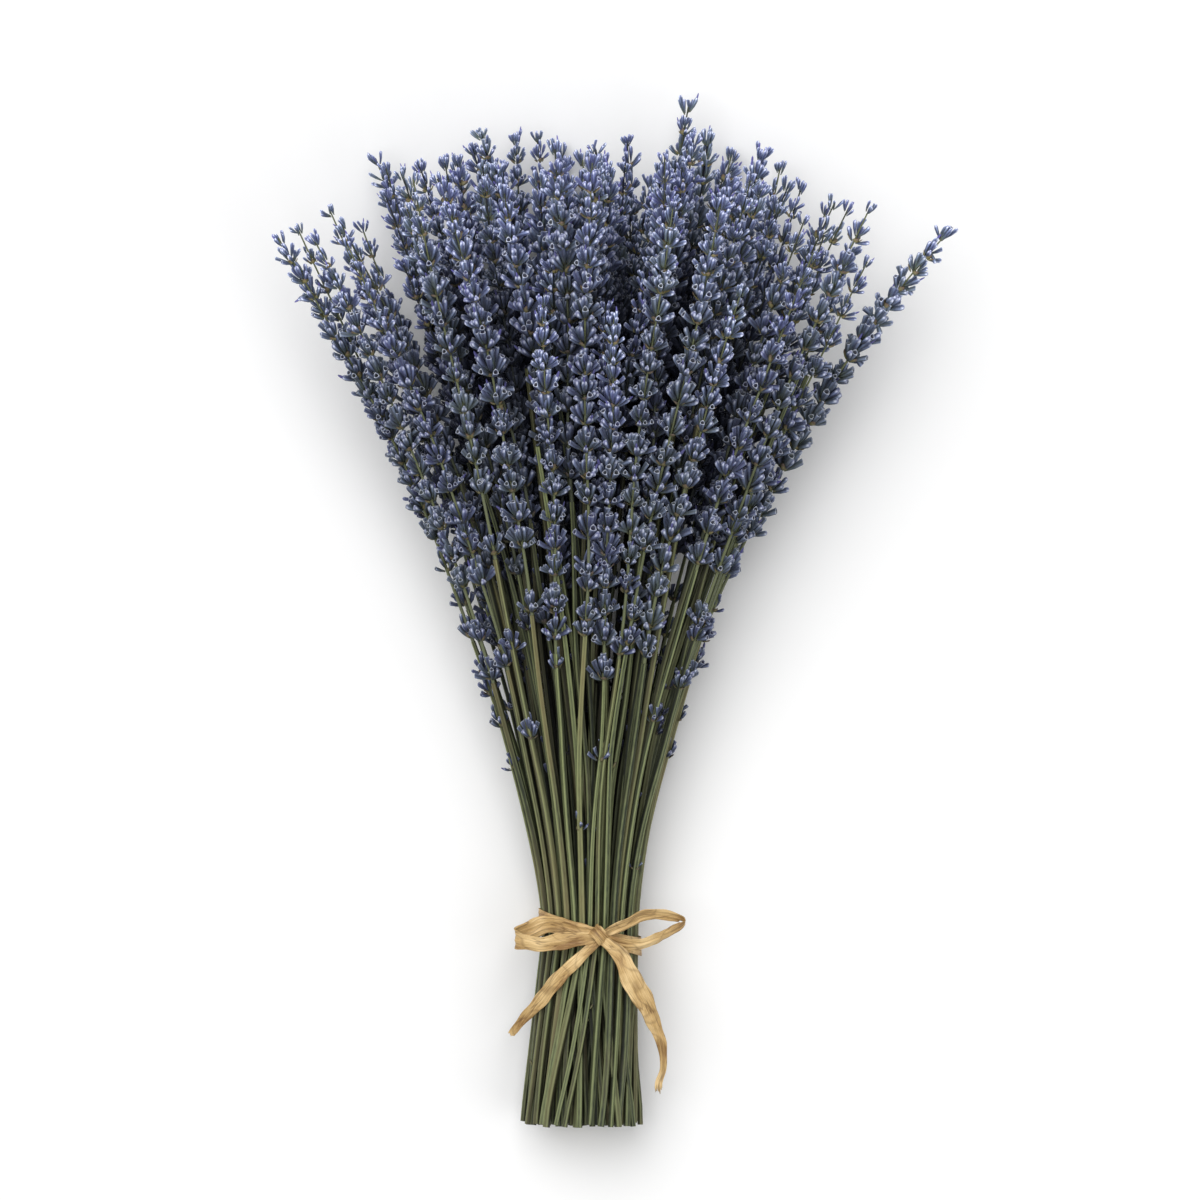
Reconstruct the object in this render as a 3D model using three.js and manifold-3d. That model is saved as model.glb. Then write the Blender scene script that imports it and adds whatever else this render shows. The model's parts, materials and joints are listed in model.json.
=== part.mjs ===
// A bunch of dried lavender lying on a table, tied with a strip of raffia in a bow.
// Millimetres. +Y runs along the bunch from the cut ends to the flower tips, +Z is up, and the
// origin is on the table, under the middle of the tie.
import * as THREE from "three";
import { mergeVertices } from "three/addons/utils/BufferGeometryUtils.js";
import Module from "manifold-3d";

const wasm = await Module();
wasm.setup();

// The bunch: nested rings of sprigs, squeezed at the tie and spread out at the flowers.
const ringCounts = [4, 8, 12, 18, 22, 28]; // sprigs in each ring, the middle of the bunch first
const innerRing = 2 / 3; // radius of the first ring, in ring spacings
const tieHalfX = 17.6; // centre of the bunch to the outer stems' axes, at the tie
const tieHalfZ = 15.5;
const headHalfX = 125; // the same at the height headY
const headHalfZ = 59;
const headY = 285;
const spreadPower = 1.52; // the sprigs lean out more and more on their way up
const cutHalfX = 21.5; // centre of the bunch to the outer stems' axes, at the cut ends
const cutHalfZ = 18.2;
const cutShiftX = -2.9; // the cut ends lean a little to one side
const cutLength = 75.5; // tie to cut ends
const cutLift = 0.1; // the cut ends hang just clear of the table
const sprigReach = 308; // tie to tip, in a straight line
const sideReachLoss = 18; // the sprigs out at the two sides end that much lower
const reachSpread = 11;
const shortShare = 0.15; // of the sprigs, which were picked shorter
const shortLoss = [22, 52];
const sideShift = 0.15; // sprigs stand less close at the two sides of a ring
const twistAbove = 7; // degrees that a ring turns from tie to tips, by turns one way and the other
const twistBelow = 15; // and from tie to cut ends
const tipDriftX = 6; // how far a tip may stray from its ring
const tipDriftZ = 3;
const driftPower = 3; // a sprig leaves its ring only near its tip
// Sprigs that stand out of the bunch, by ring and place in it: how far their tips stray, and how
// much longer they are than the rest.
const strays = new Map([
  ["6:0", { x: 24, z: 6, longer: 15 }],
  ["6:27", { x: 2, z: -2, longer: 0 }],
  ["6:13", { x: -4, z: 3, longer: 0 }],
  ["6:14", { x: -9, z: 2, longer: 0 }],
  ["5:17", { x: 0, z: 0, longer: 10 }],
]);

// A sprig: a square stem, and a spike of whorls that each open into four florets.
const stemRadius = 1.2; // axis to corner
const stemTopRadius = 1.05;
const waistRadius = 1.15; // the stem and small bracts between whorls
const spikeLength = 134;
const spikeSpread = 16;
const whorlCounts = [3, 3, 4, 4, 5, 5]; // by ring: the middle of the bunch is hidden
const whorlShrink = 1.25; // whorls grow shorter towards the tip
const loneRing = 6; // sprigs of this ring also carry one whorl lower down
const loneGap = [8, 26]; // bare stem over that lowest whorl, least and most
const loneHeight = 12;
const whorlReach = 6.2; // axis to floret tip
const topWhorlReach = 4.4;
const notchShare = 0.45; // how far out the notches between florets lie
const tipHeight = 0.68; // where the florets end, as a share of the whorl's height
const notchHeight = 0.34;
const floretHalfWidth = 1.8; // at the sprig's axis, down to nothing at the floret's tip
const linkRadius = 1.3; // of a floret that reaches into the sprig alongside
const linkRoom = 3.2; // what it wants clear round its middle
const crowdCost = 20; // length that it would rather have than a millimetre less room
const gap = 0.35; // clear space kept between neighbours
const farOff = 25; // parts of a sprig that far from a place don't matter to it
const floretChecks = [0.4, 0.7, 1]; // where along a floret its clear space is measured
const linkChecks = [0.2, 0.4, 0.6, 0.8];
const trim = 0.94; // a floret in the way is cut back by this factor until it is clear
const innerBends = [0, 95]; // where the straight stretches of a stem meet
const outerBends = [0, 12, 95];

// The raffia
const raffiaWidth = 7.5;
const raffiaThickness = 0.7;
const bandClearance = 0.9; // between the outer stems and the band
const bandSides = 24;
const bandTilt = 4.5; // the band climbs that much to its left side
const coreThickness = 5; // the stems are pressed into one mass inside the band
const coreMargin = 0.3; // that mass reaches this much past the outer stems' axes
const bandTopZ = 2 * (tieHalfZ + stemRadius + bandClearance + raffiaThickness);
const knotPlace = { x: 3.9, y: -1.2, over: 1.6 };
const knotSize = [5.2, 4.6, 2.9]; // half its width, length and height
// Loose runs from the knot: [x, y, height over the top of the band, width], and how many straight
// stretches each is made of. tilt is how far the strip leans from lying flat, in radians.
const runs = {
  leftLoop: {
    tilt: 0.6,
    steps: 12,
    points: [
      [1, -2.5, 2, 3.5], [-6, -4.5, 3.5, 6], [-15.5, -5.2, 3.5, 7], [-24, -4.6, 1, 7],
      [-29.2, -1.5, -3.5, 6.5], [-27, 2.5, -5.5, 6], [-21.5, 5.8, -3.6, 6], [-12, 6.4, 0.8, 6],
      [-1, 1.5, 2.2, 4],
    ],
  },
  rightLoop: {
    tilt: 0.75,
    steps: 12,
    points: [
      [7, 0.5, 1.6, 3.5], [13.6, 5.6, 2, 5.5], [21.5, 8.6, 1, 6], [29, 9, -1.5, 5.5],
      [35.2, 6.2, -4, 5], [32, 1.8, -3.5, 5.5], [25, -1.8, -0.5, 6], [16.5, -3.4, 1.8, 6],
      [7.5, -2, 2, 4],
    ],
  },
  leftTail: {
    tilt: 0.25,
    steps: 8,
    points: [
      [2.5, -3, 2, 4.5], [-3.9, -8.5, 1.2, 4.5], [-8.5, -13.6, 0.8, 5.5], [-15.5, -19.6, -2.2, 5],
      [-22, -26.4, -7, 5], [-27.5, -33.6, -12.5, 4.4], [-31.5, -39.8, -17.5, 3],
    ],
  },
  rightTail: {
    tilt: -0.2,
    steps: 9,
    points: [
      [5, -2.5, 2.6, 5], [9.7, -8.9, 1.8, 6.5], [13.6, -15.5, 1, 7], [17.8, -23.3, -1.4, 7.2],
      [22.2, -31, -5, 7], [25.4, -38.8, -8.5, 6.2], [27.2, -46.5, -11.5, 5.6],
      [27.6, -54.3, -14, 4.8], [26, -62.6, -16, 3],
    ],
  },
};

const bandInnerX = tieHalfX + stemRadius + bandClearance;
const bandInnerZ = tieHalfZ + stemRadius + bandClearance;
const tieCentreZ = bandInnerZ + raffiaThickness;
const headCentreZ = headHalfZ + whorlReach;
const cutCentreZ = cutHalfZ + stemRadius + cutLift;

// A seeded draw from 0 to 1, so that the bunch is the same every time.
function makeDraw(seed) {
  let state = seed;
  return () => {
    state = (state + 0x6d2b79f5) | 0;
    let t = Math.imul(state ^ (state >>> 15), 1 | state);
    t = (t + Math.imul(t ^ (t >>> 7), 61 | t)) ^ t;
    return ((t ^ (t >>> 14)) >>> 0) / 4294967296;
  };
}

const mix = (a, b, share) => a + (b - a) * share;

// Where a sprig's axis is at a height y: on its ring's surface, but for its own drift.
function axisPoint(sprig, y) {
  const { ringShare, angle, turn, drift } = sprig;
  if (y < 0) {
    const down = -y / cutLength;
    const theta = angle - turn * THREE.MathUtils.degToRad(twistBelow) * down;
    return new THREE.Vector3(
      cutShiftX * down + ringShare * mix(tieHalfX, cutHalfX, down) * Math.cos(theta),
      y,
      mix(tieCentreZ, cutCentreZ, down) + ringShare * mix(tieHalfZ, cutHalfZ, down) * Math.sin(theta),
    );
  }
  const spread = Math.pow(y / headY, spreadPower);
  const theta = angle + (turn * THREE.MathUtils.degToRad(twistAbove) * y) / headY;
  const away = Math.pow(spread, driftPower);
  return new THREE.Vector3(
    ringShare * mix(tieHalfX, headHalfX, spread) * Math.cos(theta) + drift.x * away,
    y,
    mix(tieCentreZ, headCentreZ, spread) +
      ringShare * mix(tieHalfZ, headHalfZ, spread) * Math.sin(theta) + drift.z * away,
  );
}

// The height at which a sprig is that far from the tie.
function heightAtReach(sprig, reach) {
  const tie = axisPoint(sprig, 0);
  let y = reach;
  for (let i = 0; i < 12; i++) {
    y *= reach / axisPoint(sprig, y).distanceTo(tie);
  }
  return y;
}

function makeSprigs() {
  const draw = makeDraw(8);
  const either = (most) => (draw() * 2 - 1) * most;
  const sprigs = [];
  const lastRing = ringCounts.length - 1 + innerRing;
  ringCounts.forEach((count, r) => {
    for (let i = 0; i < count; i++) {
      const ring = r + 1;
      const ringShare = (r + innerRing) / lastRing;
      const even = (2 * Math.PI * (i + 0.5 * (ring % 2))) / count;
      const sprig = { ring, ringShare, turn: ring % 2 ? 1 : -1 };
      sprig.angle = even + sideShift * Math.sin(2 * even);
      sprig.drift = { x: either(tipDriftX), z: either(tipDriftZ) };
      const aside = ringShare * Math.cos(sprig.angle);
      let reach = sprigReach - sideReachLoss * aside * aside + either(reachSpread);
      const short = draw() < shortShare;
      const loss = mix(shortLoss[0], shortLoss[1], draw());
      const spike = spikeLength + either(spikeSpread);
      sprig.spin = draw() * Math.PI * 2;
      sprig.loneGap = mix(loneGap[0], loneGap[1], draw());
      const stray = strays.get(ring + ":" + i);
      if (stray) {
        sprig.drift = stray;
        reach += stray.longer;
      } else if (short) reach -= loss;
      sprig.tipY = heightAtReach(sprig, reach);
      planSpike(sprig, spike, short);
      sprigs.push(sprig);
    }
  });
  return sprigs;
}

// The heights of a sprig's whorls, and the points that its axis runs through.
function planSpike(sprig, spike, short) {
  const base = sprig.tipY - spike;
  const count = whorlCounts[sprig.ring - 1];
  const at = (k) => base + spike * (1 - Math.pow(1 - k / count, whorlShrink));
  sprig.whorls = [];
  if (sprig.ring === loneRing && !short) {
    const from = base - sprig.loneGap - loneHeight;
    sprig.whorls.push({ from, to: from + loneHeight, reach: whorlReach });
  }
  for (let k = 0; k < count; k++) {
    sprig.whorls.push({ from: at(k), to: at(k + 1), reach: mix(whorlReach, topWhorlReach, k / (count - 1)) });
  }
  sprig.whorls.forEach((whorl) => {
    whorl.tipsAt = mix(whorl.from, whorl.to, tipHeight);
    whorl.notchesAt = mix(whorl.from, whorl.to, notchHeight);
  });
  sprig.startY = sprig.whorls[0].from;
  sprig.bends = sprig.ring === ringCounts.length ? outerBends : innerBends;
  const heights = [-cutLength, ...sprig.bends, ...sprig.whorls.flatMap((w) => [w.from, w.to])];
  sprig.line = [...new Set(heights)].map((y) => axisPoint(sprig, y));
}

const segment = new THREE.Line3();
const nearest = new THREE.Vector3();

function nearestOn(line, point) {
  let best = Infinity;
  const found = new THREE.Vector3();
  for (let i = 1; i < line.length; i++) {
    if (line[i - 1].y > point.y + farOff || line[i].y < point.y - farOff) continue;
    segment.set(line[i - 1], line[i]).closestPointToPoint(point, true, nearest);
    const far = nearest.distanceTo(point);
    if (far < best) {
      best = far;
      found.copy(nearest);
    }
  }
  return { far: best, point: found };
}

// Two sprigs side by side are joined by one long floret, the shortest that has room round it.
// Its lines are its lower edge, its middle and its upper edge.
function planLink(one, two, earlier) {
  let best = { cost: Infinity };
  for (const [from, to] of [[one, two], [two, one]]) {
    const others = sprigs.filter((sprig) => sprig !== from && sprig !== to).map((sprig) => sprig.line);
    const inTheWay = [...others, ...earlier.flatMap((link) => link.lines)];
    for (const whorl of from.whorls.slice(0, -1)) {
      const { far, point: end } = nearestOn(to.line, axisPoint(from, whorl.tipsAt));
      if (end.y < to.startY + whorlReach || end.y > to.tipY - 2 * whorlReach) continue;
      const lines = [whorl.from, whorl.tipsAt, whorl.to].map((y) => [axisPoint(from, y), end]);
      const places = lines.flatMap(([start]) => linkChecks.map((t) => start.clone().lerp(end, t)));
      const rooms = places.flatMap((place) => inTheWay.map((line) => nearestOn(line, place).far));
      const cost = far + crowdCost * Math.max(0, linkRoom - Math.min(...rooms));
      if (cost < best.cost) best = { cost, from, to, whorl, end, lines };
    }
  }
  best.whorl.link = best;
  return best;
}

// How far a floret can stand out before it would meet a neighbour or go under the table.
function clearReach(sprig, from, direction, wanted) {
  let reach = direction.z < 0 ? Math.min(wanted, from.z / -direction.z) : wanted;
  const isClear = () => {
    for (const share of floretChecks) {
      const place = from.clone().addScaledVector(direction, reach * share);
      const own = floretHalfWidth * (1 - share);
      for (const other of sprigs) {
        if (other === sprig) continue;
        const { far, point } = nearestOn(other.line, place);
        if (far < stemRadius + own + gap) return false;
        if (point.y > other.startY - gap && far < reach * share + gap) return false;
      }
      for (const link of links) {
        if (link.from === sprig || link.to === sprig) continue;
        const far = Math.min(...link.lines.map((line) => nearestOn(line, place).far));
        if (far < linkRadius + own + gap) return false;
      }
    }
    return true;
  };
  while (reach > waistRadius && !isClear()) {
    reach *= trim;
  }
  return reach;
}

// Directions across a sprig at a height y.
function across(sprig, y) {
  const tangent = axisPoint(sprig, y + 1).sub(axisPoint(sprig, y - 1)).normalize();
  const side = new THREE.Vector3(1, 0, 0).addScaledVector(tangent, -tangent.x).normalize();
  const over = new THREE.Vector3().crossVectors(tangent, side);
  return (turn) => side.clone().multiplyScalar(Math.cos(turn)).addScaledVector(over, Math.sin(turn));
}

// A square ring of points round a sprig's axis.
function squareRing(sprig, y, radius) {
  const centre = axisPoint(sprig, y);
  const direction = across(sprig, y);
  return [0, 1, 2, 3].map((k) => {
    return centre.clone().addScaledVector(direction(sprig.spin + (k * Math.PI) / 2), radius);
  });
}

// Eight points: four floret tips and the four notches between them.
function starRing(sprig, whorl, odd) {
  const tipCentre = axisPoint(sprig, whorl.tipsAt);
  const notchCentre = axisPoint(sprig, whorl.notchesAt);
  const direction = across(sprig, whorl.tipsAt);
  const places = [0, 1, 2, 3, 4, 5, 6, 7];
  const isTip = (k) => k % 2 === (odd ? 1 : 0);
  const turns = places.map((k) => direction(sprig.spin + (k * Math.PI) / 4));
  const reaches = turns.map((turn, k) => (isTip(k) ? clearReach(sprig, tipCentre, turn, whorl.reach) : 0));
  const ring = turns.map((turn, k) => {
    if (isTip(k)) return tipCentre.clone().addScaledVector(turn, reaches[k]);
    const beside = (reaches[(k + 7) % 8] + reaches[(k + 1) % 8]) / 2;
    const notch = clearReach(sprig, notchCentre, turn, Math.max(waistRadius, beside * notchShare));
    return notchCentre.clone().addScaledVector(turn, notch);
  });
  if (whorl.link) {
    const { end } = whorl.link;
    const tips = ring.filter((point, k) => isTip(k));
    tips.sort((a, b) => a.distanceTo(end) - b.distanceTo(end))[0].copy(end);
  }
  return ring;
}

// Joins rings of 4 or 8 points into one closed skin. The last ring may be a single point.
function skin(rings) {
  const points = rings.flat();
  const faces = [];
  let lowStart = 0;
  for (let i = 1; i < rings.length; i++) {
    const low = rings[i - 1].length;
    const high = rings[i].length;
    const highStart = lowStart + low;
    const a = (k) => lowStart + ((k + low) % low);
    const b = (k) => highStart + ((k + high) % high);
    for (let k = 0; k < Math.min(low, high === 1 ? low : high); k++) {
      if (high === 1) faces.push(a(k), a(k + 1), b(0));
      else if (low === high) faces.push(a(k), a(k + 1), b(k + 1), a(k), b(k + 1), b(k));
      else if (low < high) {
        faces.push(a(k), b(2 * k), b(2 * k - 1));
        faces.push(a(k), b(2 * k + 1), b(2 * k));
        faces.push(a(k), a(k + 1), b(2 * k + 1));
      } else {
        faces.push(b(k), a(2 * k - 1), a(2 * k));
        faces.push(b(k), a(2 * k), a(2 * k + 1));
        faces.push(b(k + 1), b(k), a(2 * k + 1));
      }
    }
    lowStart = highStart;
  }
  for (let k = 1; k < rings[0].length - 1; k++) faces.push(0, k + 1, k);
  for (let k = 1; k < rings.at(-1).length - 1; k++) faces.push(lowStart, lowStart + k, lowStart + k + 1);
  return new THREE.BufferGeometry().setFromPoints(points).setIndex(faces);
}

function solidOf(geometry) {
  const bare = geometry.clone();
  bare.deleteAttribute("normal");
  bare.deleteAttribute("uv");
  const merged = mergeVertices(bare, 1e-4);
  const mesh = new wasm.Mesh({
    numProp: 3,
    vertProperties: new Float32Array(merged.attributes.position.array),
    triVerts: new Uint32Array(merged.index.array),
  });
  return new wasm.Manifold(mesh);
}

function geometryOf(solid) {
  const { vertProperties, triVerts, numProp } = solid.getMesh();
  const count = vertProperties.length / numProp;
  const places = new Float32Array(count * 3);
  for (let i = 0; i < count; i++) {
    places.set(vertProperties.subarray(i * numProp, i * numProp + 3), i * 3);
  }
  const geometry = new THREE.BufferGeometry();
  geometry.setAttribute("position", new THREE.BufferAttribute(places, 3));
  geometry.setIndex(new THREE.BufferAttribute(triVerts, 1));
  return geometry;
}

const joined = (solids) => wasm.Manifold.union(solids);

// The spike of one sprig, from a flat foot on its stem to the bud at its tip.
function spikeSolid(sprig) {
  const rings = [squareRing(sprig, sprig.startY + gap, waistRadius)];
  sprig.whorls.forEach((whorl, w) => {
    rings.push(starRing(sprig, whorl, w % 2 === 1));
    if (w === sprig.whorls.length - 1) {
      rings.push([axisPoint(sprig, sprig.tipY)]);
      return;
    }
    rings.push(squareRing(sprig, whorl.to, waistRadius));
    const next = sprig.whorls[w + 1].from;
    if (next > whorl.to + gap) rings.push(squareRing(sprig, next, waistRadius));
  });
  return solidOf(skin(rings));
}

function stemSolid(sprig) {
  const rings = [-cutLength, ...sprig.bends].map((y) => squareRing(sprig, y, stemRadius));
  return solidOf(skin([...rings, squareRing(sprig, sprig.startY, stemTopRadius)]));
}

// The stems are pressed into one mass where the raffia holds them, out of sight under the band.
function pressedStems() {
  const core = new THREE.CylinderGeometry(1, 1, coreThickness, bandSides);
  core.scale(tieHalfX + coreMargin, 1, tieHalfZ + coreMargin);
  const lean = new THREE.Matrix4().makeShear(-bandTilt / bandInnerX, 0, 0, 0, 0, 0);
  core.applyMatrix4(lean).translate(0, 0, tieCentreZ);
  return solidOf(core);
}

// A flat strip through places = [{ at, width }], which lies the same way across all along.
function stripSolid(places, wide) {
  const rings = places.map(({ at, width }, i) => {
    const before = places[Math.max(i - 1, 0)].at;
    const after = places[Math.min(i + 1, places.length - 1)].at;
    const along = after.clone().sub(before).normalize();
    const face = new THREE.Vector3().crossVectors(along, wide).normalize();
    const edge = new THREE.Vector3().crossVectors(face, along).normalize();
    return [[1, 1], [-1, 1], [-1, -1], [1, -1]].map(([e, f]) => {
      const corner = at.clone().addScaledVector(edge, (e * width) / 2);
      return corner.addScaledVector(face, (f * raffiaThickness) / 2);
    });
  });
  return solidOf(skin(rings));
}

// The band round the stems. One of its flats lies on the table at the origin.
function bandSolid() {
  const points = [];
  const faces = [];
  const toCorner = 1 / Math.cos(Math.PI / bandSides);
  for (let i = 0; i < bandSides; i++) {
    const angle = ((i + 0.5) * 2 * Math.PI) / bandSides;
    for (const [edge, out] of [[1, 1], [1, 0], [-1, 0], [-1, 1]]) {
      const x = (bandInnerX + out * raffiaThickness) * toCorner * Math.cos(angle);
      const z = (bandInnerZ + out * raffiaThickness) * toCorner * Math.sin(angle);
      const y = (edge * raffiaWidth) / 2 - bandTilt * Math.cos(angle);
      points.push(new THREE.Vector3(x, y, tieCentreZ + z));
    }
    const a = i * 4;
    const b = ((i + 1) % bandSides) * 4;
    for (let k = 0; k < 4; k++) {
      const n = (k + 1) % 4;
      faces.push(a + k, a + n, b + n, a + k, b + n, b + k);
    }
  }
  return solidOf(new THREE.BufferGeometry().setFromPoints(points).setIndex(faces));
}

// One loose run, as a smooth curve through its points.
function runSolid({ points, tilt, steps }) {
  const curve = new THREE.CatmullRomCurve3(
    points.map(([x, y, over]) => new THREE.Vector3(x, y, bandTopZ + over)),
  );
  const last = points.length - 1;
  const places = [];
  for (let i = 0; i <= steps; i++) {
    const along = (i / steps) * last;
    const k = Math.min(Math.floor(along), last - 1);
    const width = mix(points[k][3], points[k + 1][3], along - k);
    places.push({ at: curve.getPoint(i / steps), width });
  }
  return stripSolid(places, new THREE.Vector3(0, Math.cos(tilt), Math.sin(tilt)));
}

function knotSolid() {
  const knot = new THREE.SphereGeometry(1, 8, 6);
  knot.rotateX(Math.PI / 2).scale(...knotSize);
  return solidOf(knot.translate(knotPlace.x, knotPlace.y, bandTopZ + knotPlace.over));
}

const stemGreen = new THREE.MeshStandardMaterial({ color: 0x7c8457, roughness: 0.85, metalness: 0 });
const flowerBlue = new THREE.MeshStandardMaterial({ color: 0x5d6484, roughness: 0.95, metalness: 0 });
const raffiaTan = new THREE.MeshStandardMaterial({ color: 0xc4a169, roughness: 0.8, metalness: 0 });

const bunch = new THREE.Group();

function add(name, solid, material) {
  const mesh = new THREE.Mesh(geometryOf(solid), material);
  mesh.name = name;
  bunch.add(mesh);
}

const sprigs = makeSprigs();
const pairs = [];
for (let i = 0; i < sprigs.length; i += 2) pairs.push([sprigs[i], sprigs[i + 1]]);
const links = [];
for (const [one, two] of pairs) links.push(planLink(one, two, links));

add("stems", joined([...sprigs.map(stemSolid), pressedStems()]), stemGreen);
pairs.forEach((pair, i) => {
  const name = "flower_heads_" + String(i + 1).padStart(2, "0");
  add(name, joined(pair.map(spikeSolid)), flowerBlue);
});
add("raffia_tie", joined([bandSolid(), knotSolid(), ...Object.values(runs).map(runSolid)]), raffiaTan);

export default bunch;
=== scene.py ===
# A bunch of dried lavender, tied with a strip of raffia and lying on a pale table.
# +Y runs from the cut ends to the flower tips, +Z is up, and the origin is on the table,
# under the middle of the tie. Lengths in the settings are millimetres.
import json
import math
import random

import bpy
from mathutils import Matrix, Vector

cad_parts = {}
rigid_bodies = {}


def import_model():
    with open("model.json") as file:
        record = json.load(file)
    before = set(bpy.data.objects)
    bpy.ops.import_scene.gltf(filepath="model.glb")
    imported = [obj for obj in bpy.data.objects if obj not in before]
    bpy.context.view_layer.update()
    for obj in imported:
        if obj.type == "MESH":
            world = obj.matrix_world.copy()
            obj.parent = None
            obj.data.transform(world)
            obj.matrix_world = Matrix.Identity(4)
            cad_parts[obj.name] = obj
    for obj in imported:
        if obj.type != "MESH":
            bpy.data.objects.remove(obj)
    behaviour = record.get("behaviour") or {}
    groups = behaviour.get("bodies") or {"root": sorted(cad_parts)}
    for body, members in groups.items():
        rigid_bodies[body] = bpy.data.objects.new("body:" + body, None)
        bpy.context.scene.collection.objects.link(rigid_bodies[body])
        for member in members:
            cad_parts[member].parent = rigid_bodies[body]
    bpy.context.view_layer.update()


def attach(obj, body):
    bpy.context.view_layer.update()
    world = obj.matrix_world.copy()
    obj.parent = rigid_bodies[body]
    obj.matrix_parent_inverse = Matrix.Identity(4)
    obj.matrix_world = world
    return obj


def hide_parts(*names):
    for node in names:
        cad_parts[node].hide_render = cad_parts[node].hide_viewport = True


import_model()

mm = 0.001
fullTurn = 2 * math.pi

# The camera stands where the photograph was taken from.
view = {
    "pixel": 0.3872,  # size of one pixel of the photograph at the bunch
    "pixels": 1200,
    "tiePixel": (590, 935),  # where the tie stands in the photograph
    "distance": 3000,
    "aimHeight": 45,
    "sensor": 36,
}
light = {  # power in watts
    "key": {"place": (-500, 800, 2050), "size": 2500, "power": 46},
    "side": {"place": (1100, -400, 1500), "size": 1400, "power": 8},
    "target": (0, 130, 50),
    "sky": 0.39,
    "floorTone": 0.9,
    "floorRoughness": 0.9,
    "floorSize": 6000,
}


def addObject(name, data):
    made = bpy.data.objects.new(name, data)
    bpy.context.scene.collection.objects.link(made)
    return made


def placeCamera():
    middle = view["pixels"] / 2
    across = (middle - view["tiePixel"][0]) * view["pixel"]
    along = (view["tiePixel"][1] - middle) * view["pixel"]
    data = bpy.data.cameras.new("camera")
    data.sensor_width = view["sensor"]
    data.lens = view["sensor"] * view["distance"] / (view["pixel"] * view["pixels"])
    camera = addObject("camera", data)
    camera.location = Vector((across, along, view["distance"] + view["aimHeight"])) * mm
    bpy.context.scene.camera = camera


def placeLights():
    target = Vector(light["target"]) * mm
    for name in ("key", "side"):
        data = bpy.data.lights.new(name, "AREA")
        data.shape = "DISK"
        data.size = light[name]["size"] * mm
        data.energy = light[name]["power"]
        lamp = addObject(name, data)
        lamp.location = Vector(light[name]["place"]) * mm
        lamp.rotation_euler = (target - lamp.location).to_track_quat("-Z", "Y").to_euler()
    world = bpy.data.worlds.new("studio")
    world.use_nodes = True
    sky = world.node_tree.nodes["Background"]
    sky.inputs["Color"].default_value = (1, 1, 1, 1)
    sky.inputs["Strength"].default_value = light["sky"]
    bpy.context.scene.world = world
    bpy.context.scene.view_settings.view_transform = "Standard"


placeCamera()
placeLights()
print("camera and lights placed")


# A socket in a node tree. Sums written with it add Math nodes to the tree.
class Wire:
    def __init__(self, tree, socket=None):
        self.tree = tree
        self.socket = socket

    # Adds any node: its type, its settings, then a value or a wire for each socket.
    def node(self, kind, settings=None, sockets=None, output=0):
        made = self.tree.nodes.new(kind)
        for name, value in (settings or {}).items():
            if name == "stops":
                fillRamp(made.color_ramp, value)
            else:
                setattr(made, name, value)
        for name, value in (sockets or {}).items():
            for one in value if isinstance(value, list) else [value]:
                if isinstance(one, Wire):
                    self.tree.links.new(one.socket, made.inputs[name])
                else:
                    made.inputs[name].default_value = one
        return Wire(self.tree, made.outputs[output])

    def other(self, name):
        return Wire(self.tree, self.socket.node.outputs[name])

    def maths(self, operation, *values):
        return self.node("ShaderNodeMath", {"operation": operation}, dict(enumerate(values)))

    def __add__(self, value):
        return self.maths("ADD", self, value)

    def __radd__(self, value):
        return self.maths("ADD", value, self)

    def __sub__(self, value):
        return self.maths("SUBTRACT", self, value)

    def __rsub__(self, value):
        return self.maths("SUBTRACT", value, self)

    def __mul__(self, value):
        return self.maths("MULTIPLY", self, value)

    def __rmul__(self, value):
        return self.maths("MULTIPLY", value, self)

    def __abs__(self):
        return self.maths("ABSOLUTE", self)

    def atLeast(self, value):
        return self.maths("MAXIMUM", self, value)

    def atMost(self, value):
        return self.maths("MINIMUM", self, value)


def fillRamp(ramp, stops):
    while len(ramp.elements) < len(stops):
        ramp.elements.new(1)
    for element, (place, colour) in zip(ramp.elements, stops):
        element.position = place
        element.color = colour


# A colour as it looks on a screen, 0 to 255, turned into the light it stands for.
def screenColour(red, green, blue):
    parts = [value / 255 for value in (red, green, blue)]
    linear = [p / 12.92 if p < 0.04045 else ((p + 0.055) / 1.055) ** 2.4 for p in parts]
    return (*linear, 1)


def blendColours(share, first, second):
    sockets = {0: share, 6: first, 7: second}
    return share.node("ShaderNodeMix", {"data_type": "RGBA"}, sockets, output=2)


def attribute(wire, name, output="Fac"):
    return wire.node("ShaderNodeAttribute", {"attribute_name": name}, output=output)


def vector(wire, x, y=0, z=0):
    return wire.node("ShaderNodeCombineXYZ", {}, {0: x, 1: y, 2: z})


# Noise of one kind: its scale, its detail and, if it isn't a half, its roughness.
def noise(wire, place, kind):
    sockets = dict(zip(("Scale", "Detail", "Roughness"), kind))
    return wire.node("ShaderNodeTexNoise", {}, {"Vector": place, **sockets})


# A colour in the shade that it has inside the bunch.
def inShade(colour):
    sockets = {0: colour, "Scale": attribute(colour, "shade")}
    return colour.node("ShaderNodeVectorMath", {"operation": "SCALE"}, sockets)


# A new material, and its tree to draw on.
def startMaterial(name):
    material = bpy.data.materials.new(name)
    material.use_nodes = True
    return material, Wire(material.node_tree)


# Its colour, the noise that makes it rougher, and the one that its bumps follow.
def finishMaterial(material, colour, grain, height, look):
    tree = material.node_tree
    shader = tree.nodes["Principled BSDF"]
    smooth, coarse = look["roughness"]
    strength, depth = look["bump"]
    sockets = {"Strength": strength, "Distance": depth * mm, "Height": height}
    bumped = colour.node("ShaderNodeBump", {}, sockets)
    wires = {"Base Color": colour, "Roughness": smooth + grain * coarse, "Normal": bumped}
    for name, wire in wires.items():
        tree.links.new(wire.socket, shader.inputs[name])
    return material


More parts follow.
